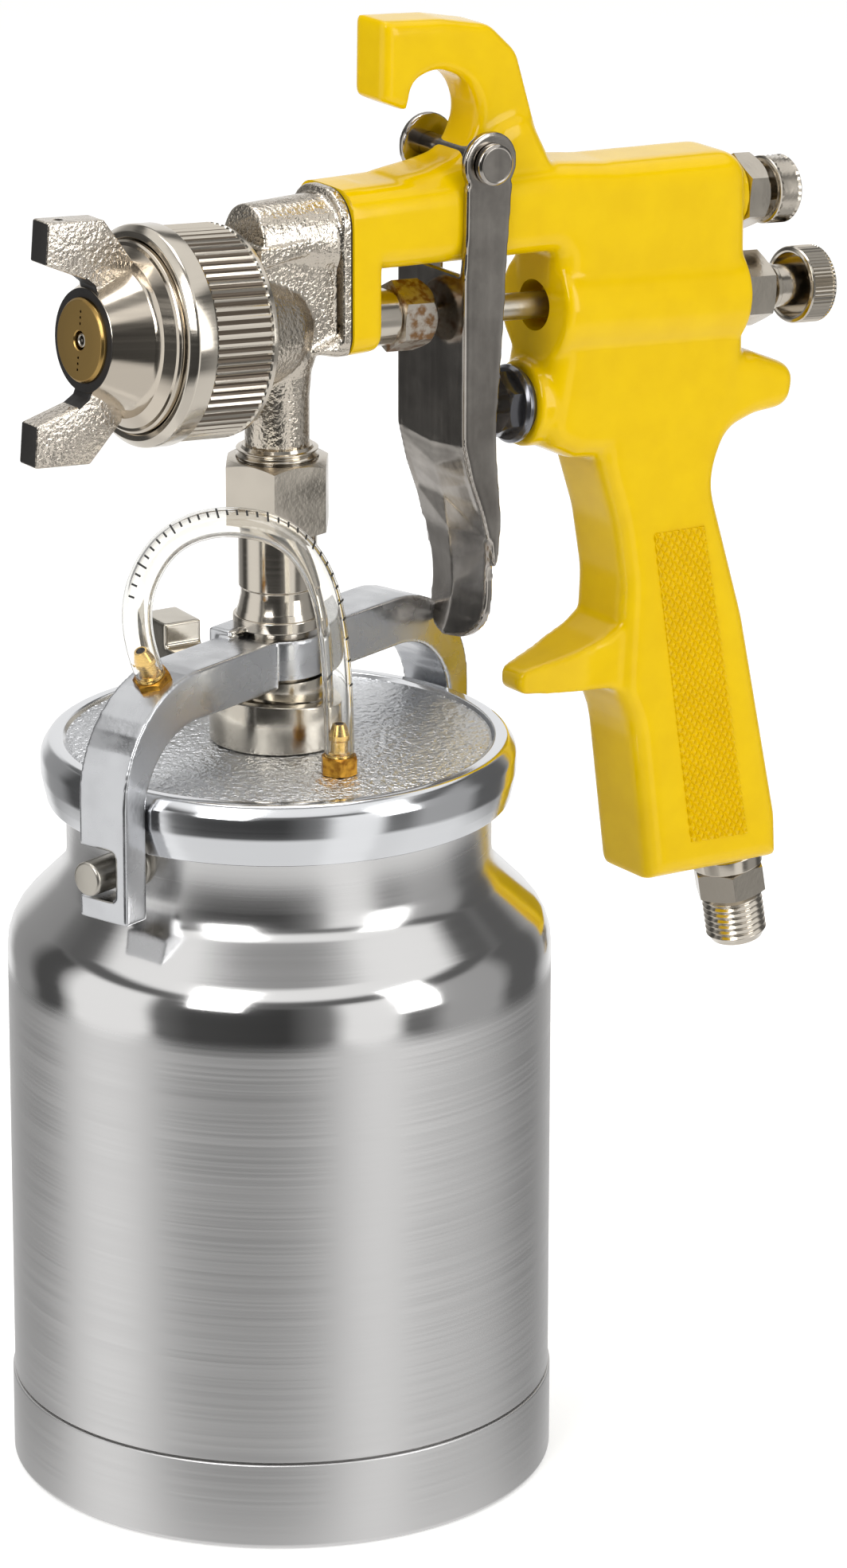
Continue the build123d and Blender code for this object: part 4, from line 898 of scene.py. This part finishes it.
# The gun body is one aluminium casting: barrel, hanging hook, handle, finger rest and spur. It is
# sprayed and baked with yellow enamel, thick enough to round every edge.
def pillow(name, corners, half, roundness, steps=5):
    """A slab like slab(), with its outer edges rounded over by a quarter circle."""
    flat = half - roundness
    piece = slab(name, corners, -flat, flat)
    pick(piece)
    bpy.context.tool_settings.mesh_select_mode = (False, False, True)
    for face in piece.data.polygons:
        face.select = abs(abs(face.center.y) - flat * MM) < 1e-6 and abs(face.normal.y) > 0.9
    edit()
    for i in range(steps):
        near, far = (math.pi / 2 * k / steps for k in (i, i + 1))
        bpy.ops.mesh.inset(
            thickness=roundness * (math.cos(near) - math.cos(far)) * MM,
            depth=roundness * (math.sin(far) - math.sin(near)) * MM,
        )
    bpy.ops.mesh.select_mode(type="VERT")
    clean()
    return piece


grip_half = 9.8
block_outline = [
    (8, 27), (8, 9.6), (19.3, 9.6), (63.4, 7.2, 1.5), (63.4, -11, 8), (59.6, -29.5),
    (62.5, -34), (68, -37), (90, -40), (104, -38), (112, -33), (112, 22, 6),
    (77.4, 23.9), (61.3, 26),
]
hook_outline = [
    (22.6, 59.2), (37.1, 58, 5), (48.6, 55.6, 6), (55.1, 49.4, 6), (62.5, 25, 6), (70, 21),
    (24, 21), (27.5, 27.6, 4), (32, 27.7, 4), (42.5, 29.8, 7), (46.2, 37.8, 8), (43.2, 45.2, 8),
    (35.5, 48.4, 8), (29.5, 46.2, 4), (28.3, 40.4), (22.3, 43.1),
]
root_outline = [
    (24, 18), (26.5, 27.2), (42, 29, 6), (49, 36, 7), (57, 38, 9), (64.5, 24, 9),
    (74, 18),
]
grip_outline = [
    (75, -26), (74.2, -38.4, 6), (78.6, -52, 20), (81, -66, 20), (79.8, -88.9, 10),
    (83.4, -96.4, 20), (88, -132.2), (122.8, -133.4), (122.3, -123.4, 6), (112.5, -77.4, 40),
    (103.2, -46.5, 14), (107.4, -36.8, 7), (114.7, -34.6, 8), (123.8, -34.1, 4.2),
    (125.4, -25.8, 4.2), (114.4, -21, 4), (108, -20.4),
]
rest_outline = [
    (88.5, -70), (81, -74, 4), (76.5, -77, 8), (69, -79.5, 20), (57.8, -82.2, 2.2),
    (57.6, -86.9, 2.4), (68, -87.6, 20), (79.4, -88, 4), (84.5, -97, 4), (92, -97),
]
plan_outline = [
    (56.9, -3.2, 2.5), (56.9, 3.2, 2.5), (72, 7.2, 15), (84, 8.8), (100, 8.8), (100, -8.8),
    (84, -8.8), (72, -7.2, 15),
]
block = pillow("body_block", block_outline, 9.9, 5.0)
flange = flange_plate("body_flange", 9.9, -6.9, 27.0, 4.4, 7.6, -19.3, -8.0)
soften(flange, 1.4, 3, 60)
settle(flange, facing_rear)
hook = pillow("hook", hook_outline, 5.8, 1.9)
hook_root = pillow("hook_root", root_outline, 8.0, 4.0)
grip = pillow("grip", grip_outline, grip_half, 3.8)
rest = pillow("finger_rest", rest_outline, 8.7, 2.0)
rest_plan = settle(slab("rest_plan", plan_outline, 60, 100), turned("X", -90))
cut(rest, rest_plan, operation="INTERSECT")
boss_profile = [(0, 63.5), (11.6, 63.5), (12.3, 64.7, 0.6), (12.3, 111.4, 1.5), (0, 111.8)]
needle_boss = lathe("needle_boss", boss_profile, 96)
boss_limits = box("boss_limits", (-9.9, -14, 62), (9.9, 14, 114))
soften(boss_limits, 0.8, 2, 60)
settle(cut(needle_boss, boss_limits, operation="INTERSECT"), round_axis)
bosses = [
    needle_boss,
    lathe("valve_boss", [(0, 61), (9, 61, 0.8), (9, 76), (0, 76)], 72, above_axis(valve_height)),
    lathe("guide_boss", [(0, 105), (8.2, 105), (8.2, 113.2, 0.8), (0, 113.2)], 72, round_axis),
    lathe("fan_boss", [(0, 105), (7.6, 105), (7.6, 112, 0.8), (0, 112)], 72, above_axis(fan_height)),
]
castings = [block, flange, hook, hook_root, grip, rest]
for piece in castings:
    settle(piece, at_gun)
body = fuse(castings + bosses, "gun_body_casting", 0.62, 9)

# Three ways are bored along the gun, for the needle, the fan valve and the trigger's air valve.
needle_way = [
    (0, 5), (5.9, 5), (5.9, 22), (5.3, 60), (5.3, 69), (2.86, 69), (2.86, 80), (5.2, 80),
    (5.2, 117), (0, 117),
]
fan_way = [(0, 5), (4, 5), (4, 60), (5, 60), (5, 101), (5.92, 101), (5.92, 117), (0, 117)]
valve_way = [(0, 50), (6.92, 50), (6.92, 77.7), (6, 77.7), (6, 98), (0, 98)]
cut(body, lathe("needle_way", needle_way, 56, round_axis))
cut(body, lathe("fan_way", fan_way, 48, above_axis(fan_height)))
cut(body, lathe("valve_way", valve_way, 56, above_axis(valve_height)))
cut(body, settle(box("face_cut", (2.0, -20, -40), (12.0, 20, 40)), at_gun))
enamel_look = {"Specular IOR Level": 0.2, "Coat Weight": 0.2, "Coat Roughness": 0.06}
enamel, shader = new_material("baked_yellow_enamel", enamel_look)
flow, peel = noise(shader, 160.0), noise(shader, 900.0)
set_tones(shader, flow, (0.3, "#DBB400"), (0.7, "#E0BA00"))
set_gloss(shader, peel, (0.12, 0.2))
uneven = add(shader.id_data, "ShaderNodeMath", {0: flow, 1: peel}, operation="ADD")
set_bump(shader, uneven.outputs[0], 0.3, 0.00001)
finish(body, "gun", "enamel", enamel, "gun_body", sharp=55)

# A panel of raised diamonds is cast into each side of the grip. The enamel has softened its points.
diamond, diamond_count, diamond_rise, panel_depth, panel_lean = 2.2, 60, 0.8, 0.6, -9.5
panel_size = diamond_count * diamond / math.sqrt(2) * MM
panel_outline = [(87.4, 185), (100.4, 184.5), (113.1, 114.6), (98.3, 115.5)]
for side, name in ((-1, "near_knurl"), (1, "far_knurl")):
    grid = {"x_subdivisions": diamond_count, "y_subdivisions": diamond_count, "size": panel_size}
    panel = start(name, bpy.ops.mesh.primitive_grid_add, **grid)
    edit()
    bpy.ops.mesh.poke(offset=diamond_rise * MM)
    bpy.ops.object.mode_set(mode="OBJECT")
    settle(panel, turned("Z", 45))
    settle(
        panel,
        shifted(100.0, grip_half * side, 150.0)
        @ turned("Y", panel_lean)
        @ turned("X", -90 * side)
        @ Matrix.Diagonal((0.85, 1.15, 1, 1)),
    )
    apply_modifier(panel, "SOLIDIFY", thickness=panel_depth * MM, offset=-1)
    limits = slab("panel_limits", panel_outline, side * grip_half - 2, side * grip_half + 2)
    cut(panel, limits, operation="INTERSECT")
    finish(panel, "gun", "enamel", enamel, "gun_body", sharp=20)

# The trigger is pressed from steel sheet and plated dark. Two straps hang from the pivot, a web
# joins them in front, and below the web the sheet narrows to a finger plate with a crease.
pivot = at_gun @ shifted(44.0, 0, 29.1)
sheet_thickness, strap_inner, strap_outer = 1.8, 9.9, 11.7
strap_outline = [
    (38.2, 27, 3), (38, 14.5), (37.5, 7.2), (37.5, -28.5), (39.4, -36.3, 10), (41.3, -41.5, 10),
    (44.2, -49, 10), (45.3, -56.5, 0.5), (46.4, -53.2, 2), (47.1, -45.7, 12), (46, -32.9, 12),
    (45.7, -26.2, 12), (47, -9.8, 12), (47.7, 0), (48.1, 8.2), (49.6, 27, 3),
]
ear_profile = [(0, strap_inner), (6.4, strap_inner, 0.3), (6.4, strap_outer, 0.35), (0, strap_outer)]
trigger_parts = []
for side, name in ((-1, "near_strap"), (1, "far_strap")):
    strap = slab(name, strap_outline, side * strap_inner, side * strap_outer)
    soften(strap, 0.35, 2, 50)
    ear = lathe("ear", ear_profile, 64, pivot @ turned("X", -90 * side))
    trigger_parts += [settle(strap, at_gun), ear]


def bent_sheet(name, corners):
    """Sheet bent along a line of (x, z, radius) corners, with a seam down its middle."""
    line = rounded(corners, 4)
    sides = ([], [])
    for i, point in enumerate(line):
        along = (line[min(i + 1, len(line) - 1)] - line[max(i - 1, 0)]).normalized()
        across = Vector((along.y, -along.x)) * sheet_thickness / 2
        sides[0].append(tuple(point + across))
        sides[1].append(tuple(point - across))
    sheet = slab(name, sides[0] + sides[1][::-1], -strap_outer, strap_outer)
    edit(everything=True)
    bpy.ops.mesh.bisect(plane_co=(0, 0, 0), plane_no=(0, 1, 0))
    bpy.ops.object.mode_set(mode="OBJECT")
    return sheet


bends = [(38.4, -28.2, 14), (40.3, -35.4, 14), (42.3, -40.6, 14)]
web = bent_sheet("trigger_web", [(38.4, 6.6), *bends, (44.6, -49.4)])
soften(web, 0.3, 2, 50)
blade_line = [
    (38.4, -22), *bends, (44.6, -49.4, 20), (45.5, -56.4, 20), (45.7, -61.9, 14), (45, -66.4, 10),
    (43.8, -70, 8), (42.9, -71.6),
]
blade = bent_sheet("trigger_blade", blade_line)
tongue_edge = [(strap_outer, -43, 8), (9.6, -58, 8), (9.1, -71.4, 9)]
tongue_outline = [(-strap_outer, -15), (strap_outer, -15), *tongue_edge]
tongue_outline += [(-x, z, radius) for x, z, radius in tongue_edge[::-1]]
tongue = settle(slab("tongue", tongue_outline, 30, 60), turned("Z", -90))
cut(blade, tongue, operation="INTERSECT")
crease_step = 0.35
for crease_top in (-29, -33, -37, -42, -47):
    reshape(
        blade,
        lambda x, y, z: abs(y) < 0.1 and z < crease_top,
        bpy.ops.transform.translate,
        value=(-crease_step * MM, 0, 0),
    )
trigger_parts += [settle(web, at_gun), settle(blade, at_gun)]
trigger = fuse(trigger_parts, "trigger_pressing", 0.4, 4)
pin_way = rod("pin_way", 2.56, -14, 14, 40, pivot @ turned("X", 90))
cut(trigger, pin_way, rod("rod_way", 2.3, 30, 60, 40, round_axis))
dark_plate, shader = new_material("black_nickel_plated_sheet", {"Metallic": 1.0})
cloud = noise(shader, 120.0, 3.0)
set_tones(shader, cloud, (0.35, "#A29C95"), (0.65, "#BBB5AD"))
set_gloss(shader, noise(shader, 1.0, 3.0, (900, 900, 60)), (0.1, 0.22))
set_bump(shader, cloud, 0.4, 0.0002)
finish(trigger, "trigger", "nickel", dark_plate, "trigger", sharp=40)

# The trigger swings on a shouldered screw, whose two heads are alike: flat, with an eased rim.
head_profile = [
    (0, 12), (4.25, 12, 0.2), (4.25, 13.3, 0.5), (3.6, 13.8, 0.3), (3.4, 13.65, 0.1), (0, 13.7)
]
head_near = lathe("pivot_screw_head", head_profile, 56)
head_far = copy_turned(head_near, "pivot_screw_nut", 0)
screw_shank = rod("pivot_screw_shank", 2.5, -12.1, 12.1, 40)
for piece, turn in ((head_near, 1), (head_far, -1), (screw_shank, 1)):
    settle(piece, pivot @ turned("X", 90 * turn))
screw = join([head_near, head_far, screw_shank], "pivot_screw")
finish(screw, "gun", "steel", dark_plate, "trigger_pivot_screw")

# The packing nut presses the seal round the needle. It is hexagon bar with a turned nose, and its
# plating has begun to rust.
packing_nut = hexagon_bar("packing_nut_hex", 12.8, 27.02, 35.0, 0.3, 1.4)
cut(packing_nut, rod("packing_bore", 1.6, 20, 40, 28))
rusty_plate, shader = new_material("rusting_nickel_plate", {"Metallic": 1.0})
cloud = noise(shader, 420.0, 4.0)
set_tones(shader, cloud, (0.38, "#8B6A4A"), (0.52, "#C9C1B5"))
set_gloss(shader, cloud, (0.5, 0.16))
finish(packing_nut, "gun", "nickel", rusty_plate, "packing_nut", lay=round_axis)

# The air valve's gland is a blacked steel plug with a flange, screwed into the body by its hexagon.
oil_blacked, shader = new_material("oil_blacked_steel", {"Base Color": "#7C7C80", "Metallic": 0.9})
set_gloss(shader, noise(shader, 800.0), (0.12, 0.26))
gland_hex = hexagon_bar("gland_hex", 11.8, 55.0, 58.2, 1.0, 0.2)
gland_profile = [
    (2.06, 58), (7.4, 58, 0.3), (8.1, 58.7, 0.3), (8.1, 59.5), (6.88, 59.5), (6.88, 77.6),
    (2.06, 77.6),
]
gland_flange = hollow("gland_flange", gland_profile, 72)
cut(gland_hex, rod("stem_way", 2.06, 50, 60, 28))
for piece in (gland_hex, gland_flange):
    finish(piece, "gun", "black_steel", oil_blacked, "air_valve_gland", lay=above_axis(valve_height))

# Two screws at the back set the spray. The lower one stops the needle: a hexagon guide with a long
# neck, and a knob with straight knurling. The upper one throttles the air: a short bush, and a
# knob with diamond knurling. All are turned from brass and plated.
guide_flats = hexagon_bar("guide_flats", 14.0, 113.2, 121.0, 0.4, 0.4)
neck_profile = [
    (3.46, 104.2), (5.18, 104.2), (5.18, 121), (6.8, 121), (6.3, 121.6, 0.3), (5, 123.4, 0.6),
    (5, 124.4, 0.2), (4.5, 124.8), (4.5, 132.8, 0.3), (3.46, 133),
]
guide_neck = hollow("guide_neck", neck_profile, 64)
cut(guide_flats, rod("guide_way", 5.2, 100, 125, 48))
for piece in (guide_flats, guide_neck):
    finish(piece, "gun", "nickel", plated_bar, "fluid_guide", lay=round_axis)
knob_profile = [
    (0, 104), (1.66, 104), (3.4, 104.3), (3.4, 134.6), (6.8, 134.6), (6.8, 130.1),
    (7.2, 129.9, 0.2), (7.9, 130.1, 0.2), (8.1, 130.5), (8.1, 130.7), (8.1, 135.9), (8.1, 136.1),
    (7.7, 136.6, 0.2), (7, 136.55, 0.2), (6.6, 136.2, 0.2), (0, 136.2),
]
fluid_knob = lathe("fluid_knob_turned", knob_profile, 240)
press_flutes(fluid_knob, 60, 8.1, 0.38, 130.6, 136.0)
cut(fluid_knob, rod("needle_room", 1.66, 100, 122.2, 24))
finish(fluid_knob, "fluid_knob", "nickel", bright_nickel, "fluid_knob", sharp=25, lay=round_axis)
bush = hexagon_bar("fan_bush_flats", 14.0, 112.0, 117.5, 0.3, 1.2)
bush_profile = [(2.46, 101.2), (5.88, 101.2), (5.88, 112.4), (3.9, 117), (3.9, 119.1), (2.46, 119.1)]
bush_neck = hollow("fan_bush_neck", bush_profile, 56)
cut(bush, rod("bush_way", 3.88, 100, 125, 48))
for piece in (bush, bush_neck):
    finish(piece, "gun", "nickel", plated_bar, "fan_bush", lay=above_axis(fan_height))
knurl_radius, knurl_depth, knurl_low, knurl_high = 7.1, 0.32, 120.4, 125.4
knurl_rows, knurl_columns = 8, 72
band = [(knurl_radius, knurl_low + 5.0 * i / knurl_rows) for i in range(knurl_rows + 1)]
fan_profile = [
    (2.42, 119.95), (2.42, 123.6), (5.9, 123.6), (5.9, 120), (6.6, 119.9, 0.2), (7, 120.1),
    *band, (6.9, 125.7), (6.4, 125.9, 0.2), (2, 125.85), (0, 125.85), (0, 125.12), (2.42, 125.12),
]


def crossing(turn, z):
    """True at every other crossing of the knurling's grid, which then stands out as diamonds."""
    row = round((z - knurl_low) / (knurl_high - knurl_low) * knurl_rows)
    return (row + round(turn * knurl_columns)) % 2 == 0


fan_knob = lathe("fan_knob_turned", fan_profile, knurl_columns)
press(fan_knob, knurl_radius, knurl_depth, knurl_low + 0.01, knurl_high - 0.01, crossing)
finish(fan_knob, "fan_knob", "nickel", plated_bar, "fan_knob", sharp=20, lay=above_axis(fan_height))

# The air inlet is a plated nipple in the handle's foot: a round collar, a hexagon, and a G1/4
# thread. Its ridges are cut as rings, because the real ones climb by less than two degrees.
inlet_lean = 170
inlet = at_gun @ shifted(115.1, 0, -132.4) @ turned("Y", inlet_lean)
inlet_bore = 3.8
collar_profile = [
    (inlet_bore, 0.02), (7.3, 0.02), (7.6, 0.4, 0.2), (7.6, 3.1, 0.3), (7, 3.5), (inlet_bore, 3.5)
]
collar = hollow("inlet_collar", collar_profile, 72)
flats = hexagon_bar("inlet_flats", 14.0, 3.4, 9.7, 0.5, 0.5)
cut(flats, rod("flats_way", inlet_bore, 0, 12, 40))
pitch = 1.337
ridges = [(inlet_bore, 9.6), (5.9, 9.6)]
for i in range(7):
    foot = 10.1 + pitch * i
    ridges += [(5.8, foot, 0.15), (6.5, foot + 0.52 * pitch, 0.12), (6.5, foot + 0.6 * pitch, 0.12)]
ridges += [(5.75, 19.9), (5.5, 20.5, 0.2), (4.3, 20.5, 0.2), (inlet_bore, 20.1)]
inlet_thread = hollow("inlet_thread", ridges, 80)
for piece, material in ((collar, bright_nickel), (flats, plated_bar), (inlet_thread, bright_nickel)):
    finish(piece, "gun", "nickel", material, "air_inlet", lay=inlet)

# The two return springs are wound wire. Each is held at its rear, and the needle or the air valve
# is drawn back against it.
spring_wire = cast_metal("spring_steel_wire", "#9A968F", 0.28, 0.0006, 0.00002, 0.06)


def wind(name, radius, wire, front, rear, turns):
    """A compression spring round Z between two heights, in millimetres."""
    piece = start(name, bpy.ops.mesh.primitive_circle_add, vertices=10, radius=wire / 2 * MM)
    first = shifted(radius - wire / 2, 0, front + wire / 2)
    settle(piece, first @ turned("X", 90))
    pitch = (rear - front - wire) / turns
    apply_modifier(piece, "SCREW", iterations=turns, steps=20, screw_offset=pitch * MM)
    edit(everything=True)
    bpy.ops.mesh.fill_holes(sides=0)
    clean()
    return piece


springs = (
    ("needle_spring", "needle_slide", 3.2, 0.8, 83.83, 107.9, 12, 0.0, 5.8),
    ("air_valve_spring", "air_valve_slide", 4.2, 0.9, 80.6, 97.9, 6, valve_height, 9.2),
)
for node, joint, radius, wire, front, rear, turns, height, travel in springs:
    spring = wind(node + "_coil", radius, wire, front, rear, turns)
    finish(spring, "gun", "spring_steel", spring_wire, node, sharp=60, lay=above_axis(height))
    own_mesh(spring)

# The other inner works show through the gaps and keep their CAD shapes: the needle and its collar,
# the stems, the lock nut, the seals and the tube that reaches down into the cup.
drawn_tube = cast_metal("drawn_steel_tube", "#B4B0A9", 0.3, 0.0009, 0.00003, 0.05)
dress = {
    "needle": turned_steel,
    "needle_collar": turned_steel,
    "air_valve_stem": turned_steel,
    "fan_stem": turned_steel,
    "suction_tube": drawn_tube,
    "tube_lock_nut": plated_bar,
    "air_valve_disc": turned_brass,
    "lid_gasket": rubber,
    "needle_packing": rubber,
}
for name, material in dress.items():
    mesh = nodes[name].data
    mesh.materials.clear()
    mesh.materials.append(material)
